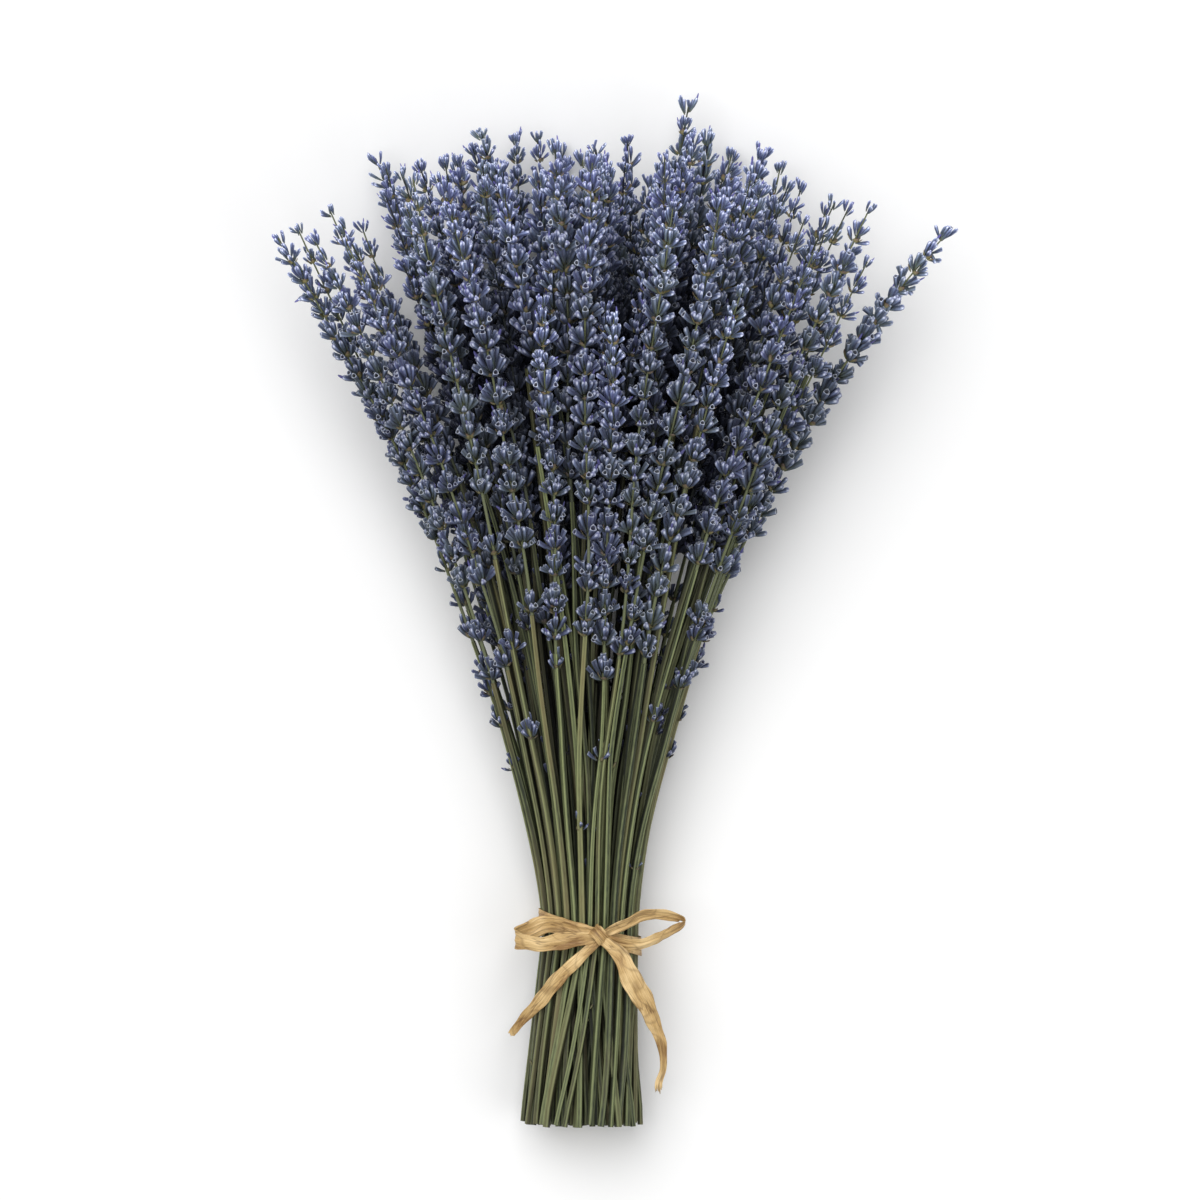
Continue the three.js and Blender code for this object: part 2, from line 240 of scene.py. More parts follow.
stemLook = {
    # Painted light and shade: the light and dark greens are a lit and a shaded copy of the stems' green.
    "light": screenColour(136, 145, 97),
    "dark": screenColour(28, 38, 16),
    "straw": screenColour(124, 112, 72),
    "fleck": screenColour(72, 54, 34),
    "pith": screenColour(206, 196, 158),  # the middle of a cut face
    "rind": screenColour(104, 100, 62),
    # Scale, detail and roughness of the noises, and how fast they change along a stem.
    "streaks": (2.2, 4, 0.6),
    "spots": (9, 3, 0.7),
    "grain": (7, 3, 0.6),
    "patches": (1.3, 2),
    "stretch": 0.1,
    "patchStretch": 0.02,
    "apart": 40,  # how far apart in the noises two stems may lie, so that no two are alike
    "patchApart": 60,
    # How light a side is, partly painted: everywhere, painted lighter to one side, lighter at the corners,
    # partly from the stems' own pale ribs and partly painted highlight, and by the streaks.
    "lit": (0.02, 0.3, 0.95, 1.1),
    "strawFrom": 0.47,
    "strawGain": (1.6, 0.9),  # by the patches, and by the stem's own tone
    "fleckFrom": 0.59,
    "fleckGain": (5, 0.6),  # how sharp a fleck's edge is, and how strong its colour
    "cutFrom": 0.8,  # a face that looks down the bunch by more than this is a cut one
    "cutGain": 8,
    "rindGain": (0.9, 0.8),  # by how far out a place is, and by the grain
    "roughness": (0.52, 0.2),
    "bump": (0.6, 0.25),  # strength, depth
}


# How much of a place is the cut face of a stem.
def cutFace(wire):
    outwards = wire.node("ShaderNodeNewGeometry", output="True Normal")
    down = wire.node("ShaderNodeSeparateXYZ", {}, {0: outwards}).other("Y") * -1
    return ((down - stemLook["cutFrom"]) * stemLook["cutGain"]).atLeast(0).atMost(1)


def makeStemMaterial():
    look = stemLook
    material, tree = startMaterial("driedStem")
    along, tone = attribute(tree, "along"), attribute(tree, "tone")
    # Where a place is on the square outline, from -1 to 1 both ways.
    x = tree.node("ShaderNodeSeparateXYZ", {}, {0: attribute(tree, "facing", "Vector")})
    y = x.other("Y")
    place = vector(tree, x + tone * look["apart"], y, along * look["stretch"])
    streaks, spots, grain = (noise(tree, place, look[kind]) for kind in ("streaks", "spots", "grain"))
    patch = vector(tree, tone * look["patchApart"], 0, along * look["patchStretch"])
    patches = noise(tree, patch, look["patches"])
    # Painted light: one side lighter and the corners lighter, mixing the lit and the shaded green.
    everywhere, oneSide, corners, byStreaks = look["lit"]
    lit = x * oneSide + abs(x) * abs(y) * corners + everywhere + (streaks - 0.5) * byStreaks
    green = blendColours(lit.atMost(1), look["dark"], look["light"])
    byPatches, byTone = look["strawGain"]
    straw = (patches - look["strawFrom"]) * byPatches + (tone - 0.5) * byTone
    aged = blendColours(straw.atLeast(0), green, look["straw"])
    sharp, strong = look["fleckGain"]
    flecks = ((spots - look["fleckFrom"]) * sharp).atLeast(0) * strong
    colour = inShade(blendColours(flecks, aged, look["fleck"]))
    rim = abs(x).atLeast(abs(y))
    byRim, byGrain = look["rindGain"]
    cut = blendColours(rim * rim * byRim + (grain - 0.5) * byGrain, look["pith"], look["rind"])
    whole = blendColours(cutFace(tree), colour, cut)
    return finishMaterial(material, whole, grain, grain, look)


flowerLook = {
    "fuzz": screenColour(176, 182, 198),
    "violet": screenColour(62, 60, 118),
    "faded": screenColour(100, 112, 98),
    "depth": screenColour(16, 22, 50),  # what the flowers turn to in the bunch's shade
    "depthMost": 0.7,
    "hairs": (2600, 3, 0.65),
    "wide": (22, 2),
    "fuzzGain": 0.3,
    "fuzzLess": 0.1,
    # From what tone up, or down for the faded ones, then how fast by the tone and by the
    # place, and how strong.
    "violetGain": (0.45, 0.9, 0.8, 0.55),
    "fadedGain": (0.4, 0.8, 0.6, 0.7),
    "roughness": (0.72, 0.2),
    "bump": (0.5, 0.15),
}


def makeFlowerMaterial():
    look = flowerLook
    material, tree = startMaterial("driedFloret")
    place = tree.node("ShaderNodeTexCoord", output="Object")
    tint, tone = attribute(tree, "tint", "Color"), attribute(tree, "tone")
    hairs, wide = (noise(tree, place, look[kind]) for kind in ("hairs", "wide"))
    colour = blendColours(hairs * look["fuzzGain"] - look["fuzzLess"], tint, look["fuzz"])
    for name, way in (("violet", 1), ("faded", -1)):
        start, byTone, byPlace, most = look[name + "Gain"]
        share = ((tone - start) * (way * byTone) + (wide - 0.5) * (way * byPlace)).atLeast(0)
        colour = blendColours(share * most, colour, look[name])
    deep = ((1 - attribute(tree, "shade")) * look["depthMost"]).atLeast(0)
    shaded = blendColours(deep, inShade(colour), look["depth"])
    return finishMaterial(material, shaded, hairs, hairs, look)


raffiaLook = {
    "dark": screenColour(138, 102, 56),
    "middle": screenColour(196, 162, 106),
    "light": screenColour(230, 200, 146),
    "stops": (0.38, 0.48, 0.6),  # the shades at which those three are reached
    # Painted shade, partly: the crease colour is partly the strip's own brown fold lines and partly painted
    # shade in its creases and bends.
    "crease": screenColour(92, 62, 32),
    # How fast each noise changes across the strip and twice along it, then the noise itself.
    "fibres": ((2.6, 0.05, 0), (3.2, 5, 0.65)),
    "fine": ((2.6, 0.05, 0), (16, 3, 0.6)),
    "patches": ((0.3, 0.05, 0), (1.3, 1.5)),
    "bends": ((0.3, 0, 0.06), (1, 1)),
    "shares": (0.3, 0.18, 0.5),  # of fibres, fine and patches in the shade
    "creaseGain": (46, 0.65),  # how narrow, and how strong
    "bendGain": (50, 0.7),
    "roughness": (0.45, 0.25),
    "bump": (0.5, 0.3),
}
# The long creases of the strip, the same in its colour and in its shape; their darker colour is partly the
# strip's own fold lines and partly painted shade.
creases = {"across": 1.7, "along": 0.035, "noise": (1, 1.5)}


# How far a place on the strip is from the nearest long crease.
def creaseNoise(wire, across, along):
    place = vector(wire, across * creases["across"], along * creases["along"])
    return abs(noise(wire, place, creases["noise"]) - 0.5)


def makeRaffiaMaterial():
    look = raffiaLook
    material, tree = startMaterial("raffiaStrip")
    across, along = attribute(tree, "across"), attribute(tree, "along")
    drawn = []
    for name in ("fibres", "fine", "patches", "bends"):
        (x, y, z), kind = look[name]
        drawn.append(noise(tree, vector(tree, across * x, along * y, along * z), kind))
    fibres, fine, patches, bends = drawn
    first, second, third = look["shares"]
    shade = fibres * first + fine * second + patches * third
    stops = list(zip(look["stops"], (look[tone] for tone in ("dark", "middle", "light"))))
    colour = tree.node("ShaderNodeValToRGB", {"stops": stops}, {0: shade})
    # Darker along the creases and across the bends: partly the strip's own brown fold lines, partly painted
    # shade.
    narrow, strong = look["creaseGain"]
    crease = (1 - creaseNoise(tree, across, along) * narrow).atLeast(0) * strong
    creased = blendColours(crease, colour, look["crease"])
    narrow, strong = look["bendGain"]
    bend = (1 - abs(bends - 0.5) * narrow).atLeast(0) * fine * strong
    creased = blendColours(bend, creased, look["crease"])
    return finishMaterial(material, creased, fine, shade, look)


def makeFloor():
    data = bpy.data.materials.new("paleTable")
    data.use_nodes = True
    shader = data.node_tree.nodes["Principled BSDF"]
    shader.inputs["Base Color"].default_value = (*[light["floorTone"]] * 3, 1)
    shader.inputs["Roughness"].default_value = light["floorRoughness"]
    half = light["floorSize"] * mm / 2
    corners = [(-half, -half, 0), (half, -half, 0), (half, half, 0), (-half, half, 0)]
    mesh = bpy.data.meshes.new("table")
    mesh.from_pydata(corners, [], [(0, 1, 2, 3)])
    mesh.materials.append(data)
    floor = addObject("table", mesh)


makeFloor()
stemMaterial = makeStemMaterial()
flowerMaterial = makeFlowerMaterial()
raffiaMaterial = makeRaffiaMaterial()
print("materials made")


# A new node tree with named inputs. What comes back is the node that hands them in.
def startTree(name, inputs):
    tree = bpy.data.node_groups.new(name, "GeometryNodeTree")
    for way in ("INPUT", "OUTPUT"):
        tree.interface.new_socket("Geometry", in_out=way, socket_type="NodeSocketGeometry")
    for label, kind in inputs.items():
        tree.interface.new_socket(label, in_out="INPUT", socket_type="NodeSocket" + kind)
    return Wire(tree).node("NodeGroupInput")


def named(wire, name, kind="FLOAT"):
    return wire.node("GeometryNodeInputNamedAttribute", {"data_type": kind}, {"Name": name})


def store(shape, name, value, kind="FLOAT"):
    settings = {"data_type": kind, "domain": "POINT"}
    sockets = {"Geometry": shape, "Name": name, "Value": value}
    return shape.node("GeometryNodeStoreNamedAttribute", settings, sockets)


# A closed rod along the lines, as wide as they say.
def sweep(lines, outline):
    width = named(lines, "halfWidth")
    sockets = {"Curve": lines, "Profile Curve": outline, "Scale": width, "Fill Caps": True}
    return lines.node("GeometryNodeCurveToMesh", {}, sockets)


# Every tree ends the same way: one plain mesh, smooth, in its material.
def finishTree(shape, material):
    real = shape.node("GeometryNodeRealizeInstances", {}, {"Geometry": shape})
    smooth = shape.node("GeometryNodeSetShadeSmooth", {}, {"Geometry": real})
    painted = shape.node("GeometryNodeSetMaterial", {}, {"Geometry": smooth, "Material": material})
    result = shape.tree.nodes.new("NodeGroupOutput")
    shape.tree.links.new(painted.socket, result.inputs["Geometry"])
    return shape.tree


# What a piece is made from: points, lines or faces between them, and the values that its
# node tree and material read at each point.
class Plan:
    fields = {"FLOAT": "value", "INT": "value", "FLOAT_VECTOR": "vector", "FLOAT_COLOR": "color"}

    def __init__(self, **layers):
        self.layers = layers
        self.values = {label: [] for label in layers}
        self.points, self.edges, self.faces = [], [], []

    # Adds a point, with a line from the last one if it is joined to it.
    def add(self, point, joined=False, **values):
        if joined:
            self.edges.append((len(self.points) - 1, len(self.points)))
        self.points.append(point)
        for label, value in values.items():
            self.values[label].append(value)

    def piece(self, name, tree=None, inputs=None):
        mesh = bpy.data.meshes.new(name)
        mesh.from_pydata([tuple(Vector(point) * mm) for point in self.points], self.edges, self.faces)
        for label, kind in self.layers.items():
            values = self.values[label]
            flat = [part for value in values for part in value] if "_" in kind else values
            mesh.attributes.new(label, kind, "POINT").data.foreach_set(Plan.fields[kind], flat)
        made = addObject(name, mesh)
        if tree:
            modifier = made.modifiers.new(tree.name, "NODES")
            modifier.node_group = tree
            for item in tree.interface.items_tree:
                if item.in_out == "INPUT" and item.name in inputs:
                    modifier[item.identifier] = inputs[item.name]
        return made


# Turns what the modifiers make into each piece's own plain mesh.
def settle(pieces):
    bpy.context.view_layer.update()
    graph = bpy.context.evaluated_depsgraph_get()
    meshes = [bpy.data.meshes.new_from_object(piece.evaluated_get(graph)) for piece in pieces]
    for piece, mesh in zip(pieces, meshes):
        piece.modifiers.clear()
        piece.data = mesh


def dress(piece, slot, *nodes):
    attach(piece, "root")
    if nodes:
        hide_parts(*nodes)


# Nested rings of sprigs, squeezed at the tie and spread out at the flowers.
bunch = {
    "seed": 8,
    "swaySeed": 7,
    "ringCounts": (4, 8, 12, 18, 22, 28),
    "innerRing": 2 / 3,
    "tieHalf": (17.6, 15.5),  # middle of the bunch to the outer stems' axes, across and up
    "headHalf": (125, 59),
    "headY": 285,
    "spreadPower": 1.52,
    "cutHalf": (21.5, 18.2),
    "cutShiftX": -2.9,
    "cutLength": 75.5,
    "tieCentreZ": 18.3,
    "headCentreZ": 65.2,
    "cutCentreZ": 19.5,
    "reach": 308,
    "sideReachLoss": 18,  # the sprigs out at the two sides end that much lower
    "reachSpread": 11,
    "shortShare": 0.15,
    "shortLoss": (22, 52),
    "sideShift": 0.15,
    "twistAbove": math.radians(7),
    "twistBelow": math.radians(15),
    "tipDrift": (6, 3),
    "driftPower": 3,
    # Sprigs that stand out, by ring and place: how far they stray across and up, how much longer
    # they are, and how far apart their whorls stand, compared with the rest.
    "strays": {
        (6, 0): (24, 6, 15, 0.76),
        (6, 27): (2, -2, 0, 0.85),
        (6, 13): (-4, 3, 0, 0.9),
        (6, 14): (-9, 2, 0, 0.85),
        (5, 17): (0, 0, 10, 1),
    },
    "sways": (((2, 5), (52, 88)), ((0.4, 1.2), (13, 24))),  # how far, over what length
    "swayTurn": 0.6,
    "swayUp": 0.6,  # how much of a sway is left where it goes up or down
    "swayFrom": (70, 1.5),  # stems sway in full from that far off the tie; a power below it
    "edgeSway": 0.45,  # how much of it is left at the two sides of the bunch
    # Sprigs this far out to the two sides have looser whorls, in full another bit further out.
    "looseFrom": 0.4,
    "looseOver": 0.35,
    "lean": 2.6,  # how far a stem's cut end may be off to one side
    "innerLean": 1.5,  # how many times that in the rings inside
    "innerRings": (4, 5),
    "nudge": 7,  # how far a tip may be moved aside, to even the tips out
    "nudgePower": 3,
    "evenFrom": 0.2,
    "evenRounds": 14,
    "innerShade": 0.07,  # painted shade: how dark the very middle of the bunch is painted
    # The painted shade starts at sprigs that far in, as a share of the way out, and deepens inwards by that
    # power.
    "shadeFrom": 0.42,
    "shadePower": 1.45,
    # The painted shade ends that far under a tip and over that length, and the same at the cut end.
    "tipFree": (80, 60),
    "cutFree": (45, 30),
    "tipLight": (60, 52),  # where painted light makes a sprig lighter towards its tip, in the same way
    "tipShade": 2.05,  # how many times lighter the painted light makes the tip
    "lowShade": -0.16,  # painted shade: stems below the tie lose that part of it, and are painted darker
    "spike": 134,
    "spikeSpread": 16,
    "loneGap": (8, 26),
    "loneHeight": 12,
}
outerRing = len(bunch["ringCounts"])
# Stems without flowers.
bareStems = {
    "seed": 12,
    # How many, how far out and how high: some end among the flowers, some fill the cut end.
    "groups": ((48, (0.6, 0.95), (150, 225)), (38, (0.1, 0.85), (50, 110))),
    "ring": 5,
    "sway": ((1, 4), (50, 90)),
}
stems = {
    "seed": 4,
    "radius": 1.02,
    "topRadius": 0.78,
    "unlike": 0.2,  # how much thicker or thinner one stem may be than another
    "innerRadius": 0.95,  # the stems of the three rings inside are that much thinner,
    "middleRadius": (0.82, 1.4),  # and all are thinner towards the middle
    "ragged": (0.2, 1.6),
    "turnSize": 0.3,
    "turnLength": 40,
    "room": 1.75,  # the lowest that a stem's axis goes
    "step": 7,
    "cornerRound": 0.34,
    "cornerSteps": 2,
    "neighbourShadeGain": 1.15,  # painted shade: sides of a stem that face its neighbours are painted darker
    "neighbourShadeLeast": 0.28,
    "neighbourShadeUp": 0.8,
}


def mix(first, second, share):
    return first + (second - first) * share


# A share, kept between none and all.
def portion(value):
    return min(1, max(0, value))


# A seeded draw from 0 to 1, the same one that the solids are made with.
def makeDraw(seed):
    state = seed
    most = 0xFFFFFFFF

    def draw():
        nonlocal state
        state = (state + 0x6D2B79F5) & most
        t = ((state ^ (state >> 15)) * (1 | state)) & most
        t = ((t + (((t ^ (t >> 7)) * (61 | t)) & most)) & most) ^ t
        return (t ^ (t >> 14)) / (most + 1)

    return draw


# How far a height y over the tie is on the way to the full spread, or down to the cut ends.
def spreadAt(y):
    return -y / bunch["cutLength"] if y < 0 else (y / bunch["headY"]) ** bunch["spreadPower"]


# The middle of the whole bunch there: how far to the side, and how high over the table.
def bunchMiddle(y):
    side = bunch["cutShiftX"] * spreadAt(y) if y < 0 else 0
    return side, mix(bunch["tieCentreZ"], bunch["cutCentreZ" if y < 0 else "headCentreZ"], spreadAt(y))


class Sprig:
    # Where the axis of the solid is at a height y over the tie.
    def line(self, y):
        spread = spreadAt(y)
        if y < 0:
            theta = self.angle - self.turn * bunch["twistBelow"] * spread
            away = 0
        else:
            theta = self.angle + self.turn * bunch["twistAbove"] * y / bunch["headY"]
            away = spread ** bunch["driftPower"]
        tie, far = bunch["tieHalf"], bunch["cutHalf" if y < 0 else "headHalf"]
        reachX, reachZ = (self.share * mix(tie[k], far[k], spread) for k in (0, 1))
        middleX, middleZ = bunchMiddle(y)
        x = middleX + reachX * math.cos(theta) + self.drift[0] * away
        return Vector((x, y, middleZ + reachZ * math.sin(theta) + self.drift[1] * away))

    # The same with the sprig's own slight bends.
    def at(self, y):
        point = self.line(y)
        full, power = bunch["swayFrom"]
        free = min(1, abs(y) / full) ** power
        for size, long, phase, turn in self.sways:
            push = size * free * math.sin(y / long + phase)
            point.x += push * math.cos(turn)
            point.z += push * math.sin(turn) * bunch["swayUp"]
        if y < 0:
            point.x += self.lean * y / bunch["cutLength"]
        else:
            point.x += self.nudge * (y / self.tipY) ** bunch["nudgePower"]
        point.z = max(point.z, stems["room"])
        return point

    # Painted shade and light: how much of its colour the bunch's own shade leaves it, less inside and all of
    # it near the tip and at the cut end, a little less below the tie; towards the tip painted light makes it
    # lighter than its own colour.
    def shadeAt(self, y):
        inner = max(0, (self.share - bunch["shadeFrom"]) / (1 - bunch["shadeFrom"]))
        shade = mix(bunch["innerShade"], 1, inner ** bunch["shadePower"])
        below, over = bunch["tipFree"]
        low, under = bunch["cutFree"]
        free = min(1, max(0, (y - self.tipY + below) / over, -(y + low) / under))
        below, over = bunch["tipLight"]
        top = portion((y - self.tipY + below) / over) if y > 0 else bunch["lowShade"]
        return mix(shade, 1, free) * mix(1, bunch["tipShade"], top)

    # Along the stem, then two directions across it.
    def directions(self, y):
        tangent = (self.at(y + 1) - self.at(y - 1)).normalized()
        side = (Vector((1, 0, 0)) - tangent * tangent.x).normalized()
        return tangent, side, tangent.cross(side)

    # Sets the tip's height, by how far it is from the tie.
    def findTip(self, reach):
        tie = self.line(0)
        y = reach
        for _ in range(12):
            y *= reach / (self.line(y) - tie).length
        self.tipY = y


def makeSprigs():
    draw = makeDraw(bunch["seed"])
    chance = random.Random(bunch["swaySeed"])
    sprigs = []
    lastRing = outerRing - 1 + bunch["innerRing"]
    for ring, count in enumerate(bunch["ringCounts"], 1):
        for place in range(count):
            sprig = Sprig()
            sprig.ring = ring
            sprig.share = (ring - 1 + bunch["innerRing"]) / lastRing
            sprig.turn = 1 if ring % 2 else -1
            even = fullTurn * (place + 0.5 * (ring % 2)) / count
            sprig.angle = even + bunch["sideShift"] * math.sin(2 * even)
            drift = [(draw() * 2 - 1) * most for most in bunch["tipDrift"]]
            aside = sprig.share * math.cos(sprig.angle)
            reach = bunch["reach"] - bunch["sideReachLoss"] * aside**2
            reach += (draw() * 2 - 1) * bunch["reachSpread"]
            sprig.short = draw() < bunch["shortShare"]
            loss = mix(*bunch["shortLoss"], draw())
            sprig.spike = bunch["spike"] + (draw() * 2 - 1) * bunch["spikeSpread"]
            sprig.spin = draw() * fullTurn
            gap = mix(*bunch["loneGap"], draw())
            stray = bunch["strays"].get((ring, place))
            sprig.drift = stray or drift
            sprig.spacing = stray[3] if stray else 1
            sprig.loose = 0 if stray else portion((abs(aside) - bunch["looseFrom"]) / bunch["looseOver"])
            if stray:
                reach += stray[2]
            elif sprig.short:
                reach -= loss
            sprig.sways = []
            for size, long in bunch["sways"]:
                phase = chance.uniform(0, fullTurn)
                turn = chance.uniform(-bunch["swayTurn"], bunch["swayTurn"])
                calm = mix(1, bunch["edgeSway"], abs(aside))
                sprig.sways.append((chance.uniform(*size) * calm, chance.uniform(*long), phase, turn))
            isInside = ring in bunch["innerRings"]
            sprig.lean = chance.uniform(-1, 1) * bunch["lean"] * (bunch["innerLean"] if isInside else 1)
            sprig.nudge = 0
            sprig.findTip(reach)
            sprig.baseY = sprig.tipY - sprig.spike
            sprig.hasLone = ring == outerRing and not sprig.short
            sprig.startY = sprig.baseY
            if sprig.hasLone:
                sprig.startY -= gap + bunch["loneHeight"]
            sprigs.append(sprig)
    return sprigs


def makeBareStems():
    chance = random.Random(bareStems["seed"])
    made = []
    places = [(share, reach) for count, share, reach in bareStems["groups"] for _ in range(count)]
    size, long = bareStems["sway"]
    for share, reach in places:
        sprig = Sprig()
        sprig.ring = bareStems["ring"]
        sprig.share = chance.uniform(*share)
        sprig.turn = chance.choice((-1, 1))
        sprig.angle = chance.uniform(0, fullTurn)
        sprig.drift = (0, 0)
        sprig.sways = [(chance.uniform(*size), chance.uniform(*long), chance.uniform(0, fullTurn), 0)]
        sprig.lean = chance.uniform(-1, 1) * bunch["lean"] * bunch["innerLean"]
        sprig.nudge = 0
        sprig.tipY = bunch["headY"]
        sprig.startY = chance.uniform(*reach)
        sprig.spin = chance.uniform(0, fullTurn)
        made.append(sprig)
    return made


# Moves the long sprigs' tips aside until they are spaced about evenly across the bunch.
def evenTips(sprigs):
    tall = [sprig for sprig in sprigs if not sprig.short and sprig.share > bunch["evenFrom"]]
    tall.sort(key=lambda one: one.line(one.tipY).x)
    start = [one.line(one.tipY).x for one in tall]
    place = list(start)
    for _ in range(bunch["evenRounds"]):
        for i in range(2, len(place) - 2):
            middle = (place[i - 1] + place[i + 1]) / 2
            place[i] += (middle - place[i]) * 0.5
    for sprig, old, new in zip(tall, start, place):
        sprig.nudge = max(-bunch["nudge"], min(bunch["nudge"], new - old))


sprigs = makeSprigs()
evenTips(sprigs)
print(len(sprigs), "sprigs planned")


# Square stems with rounded corners, along the lines of the piece.
def makeStemTree():
    labels = {"Corner Round": "Float", "Corner Steps": "Int", "Finish": "Material"}
    inputs = startTree("squareStems", labels)
    lines = inputs.node("GeometryNodeMeshToCurve", {}, {"Mesh": inputs.other("Geometry")})
    turned = inputs.node("GeometryNodeSetCurveTilt", {}, {"Curve": lines, "Tilt": named(inputs, "spin")})
    square = inputs.node("GeometryNodeCurvePrimitiveQuadrilateral", {}, {"Width": 2.0, "Height": 2.0})
    size, count = inputs.other("Corner Round"), inputs.other("Corner Steps")
    sockets = {"Curve": square, "Radius": size, "Count": count}
    rounded = inputs.node("GeometryNodeFilletCurve", {"mode": "POLY"}, sockets)
    place = inputs.node("GeometryNodeInputPosition")
    solid = sweep(turned, store(rounded, "facing", place, "FLOAT_VECTOR"))
    # Painted shade: sides that face into the bunch and down, towards the neighbouring stems, are darkened in
    # the stored shade.
    ways = {0: inputs.node("GeometryNodeInputNormal"), 1: named(inputs, "free", "FLOAT_VECTOR")}
    clear = inputs.node("ShaderNodeVectorMath", {"operation": "DOT_PRODUCT"}, ways, output="Value")
    lit = (clear * stems["neighbourShadeGain"]).atMost(1).atLeast(stems["neighbourShadeLeast"])
    shaded = store(solid, "shade", named(inputs, "shade") * lit)
    return finishTree(shaded, inputs.other("Finish"))


def makeStems():
    chance = random.Random(stems["seed"])
    layers = {label: "FLOAT" for label in ("halfWidth", "spin", "along", "tone", "shade")}
    plan = Plan(**layers, free="FLOAT_VECTOR")
    least, gain = stems["middleRadius"]
    for sprig in sprigs + makeBareStems():
        own = 1 + chance.uniform(-1, 1) * stems["unlike"]
        own *= 1 if sprig.ring > 3 else stems["innerRadius"]
        own *= mix(least, 1, min(1, sprig.share * gain))
        tone = chance.random()
        phase = chance.uniform(0, fullTurn)
        low = -bunch["cutLength"] + chance.uniform(*stems["ragged"])
        steps = int((sprig.startY - low) / stems["step"])
        for i in range(steps + 1):
            y = mix(low, sprig.startY + 1, i / steps)
            point = sprig.at(y)
            x, z = bunchMiddle(y)
            free = (point - Vector((x, y, z))).normalized() + Vector((0, 0, stems["neighbourShadeUp"]))
            share = max(0, y / sprig.startY)
            plan.add(
                point,
                joined=i > 0,
                halfWidth=mix(stems["radius"], stems["topRadius"], share) * own * mm,
                spin=sprig.spin + stems["turnSize"] * math.sin(y / stems["turnLength"] + phase),
                along=y,
                tone=tone,
                shade=sprig.shadeAt(y),
                free=free.normalized(),
            )
    settings = {"Corner Round": stems["cornerRound"], "Corner Steps": stems["cornerSteps"]}
    piece = plan.piece("lavender_stems", makeStemTree(), {**settings, "Finish": stemMaterial})
    settle([piece])
    dress(piece, "stem", "stems")


makeStems()
print("stems made")


# Each calyx is a ribbed tube of a few rings: how far up it each ring is, its radius, and the colours of its
# valleys and ribs. The colours are partly its own, olive at the foot, pale ribs and a pale tip, and partly
# painted: the darker valleys and the near-black lower body are painted shade, and the near-white ribs of the
# top ring a painted highlight.
calyx = {
    "length": 6,
    "sides": 6,
    "ribShare": 0.8,  # radius of a valley, as a share of a rib's
    "bend": 1.05,
    "rings": (
        (0.0, 0.32, (50, 50, 24), (92, 92, 48)),
        (0.17, 0.52, (20, 28, 30), (68, 82, 72)),
        (0.46, 0.88, (8, 14, 33), (50, 64, 86)),
        (0.8, 1.06, (18, 26, 56), (106, 119, 152)),
        (0.95, 0.84, (72, 80, 116), (206, 212, 232)),
    ),
    "tip": (0.99, (104, 106, 146)),
    # The open calyx: its pale rim is partly its own colour and partly a painted highlight, and the dark wall
    # and floor inside its mouth are painted shade.
    "mouthRings": (
        (0.0, 0.32, (50, 50, 24), (92, 92, 48)),
        (0.17, 0.54, (20, 28, 30), (70, 84, 74)),
        (0.5, 0.9, (8, 14, 34), (56, 70, 91)),
        (0.92, 1.08, (20, 28, 56), (114, 126, 156)),
        (0.97, 1.0, (150, 160, 184), (226, 230, 242)),
        (0.93, 0.7, (22, 22, 38), (30, 30, 50)),
        (0.7, 0.42, (8, 8, 14), (8, 8, 14)),
    ),
    "mouthFloor": (0.66, (10, 10, 18)),
    "petalSides": 4,
    "petalRings": ((0.9, 0.4), (1.06, 0.52), (1.2, 0.36)),
    "petalTip": 1.28,
    "petalColours": ((54, 50, 104), (84, 82, 146)),
}
bract = {
    "length": 3.2,
    "width": 2.7,
    "thickness": 0.2,
    "cup": 0.5,  # how far its edges lean in towards its tip,
    "keel": 0.3,  # and how much further out its middle is
    "tipLean": 0.45,
    # How far up each row is, how wide as a share, and which of the colours it has.
    "rows": ((0.25, 0.8, 1), (0.55, 1, 1), (0.8, 0.6, 2)),
    "colours": ((104, 112, 54), (106, 98, 50), (84, 66, 40)),
}
kinds = {"closed": 0, "open": 1, "petals": 2, "bract": 3, "stalk": -1}


# One ribbed tube round +Z, which bends towards +X. Ends closed.
def tubeShape(rings, tip, sides, bend):
    points, tints, faces = [], [], []
    for rise, radius, valley, rib in rings:
        for k in range(sides):
            isRib = k % 2 == 0
            reach = radius * (1 if isRib else calyx["ribShare"])
            turn = fullTurn * k / sides
            z = rise * calyx["length"]
            points.append((reach * math.cos(turn) + bend * rise**2, reach * math.sin(turn), z))
            tints.append(rib if isRib else valley)
    for row in range(len(rings) - 1):
        for k in range(sides):
            low, n = row * sides, (k + 1) % sides
            faces.append((low + k, low + n, low + sides + n, low + sides + k))
    faces.append(tuple(reversed(range(sides))))
    rise, colour = tip
    points.append((bend * rise**2, 0, rise * calyx["length"]))
    tints.append(colour)
    top = (len(rings) - 1) * sides
    faces += [(top + k, top + (k + 1) % sides, len(points) - 1) for k in range(sides)]
    return points, tints, faces


def joinShapes(*shapes):
    points, tints, faces = [], [], []
    for somePoints, someTints, someFaces in shapes:
        start = len(points)
        points += somePoints
        tints += someTints
        faces += [tuple(start + k for k in face) for face in someFaces]
    return points, tints, faces


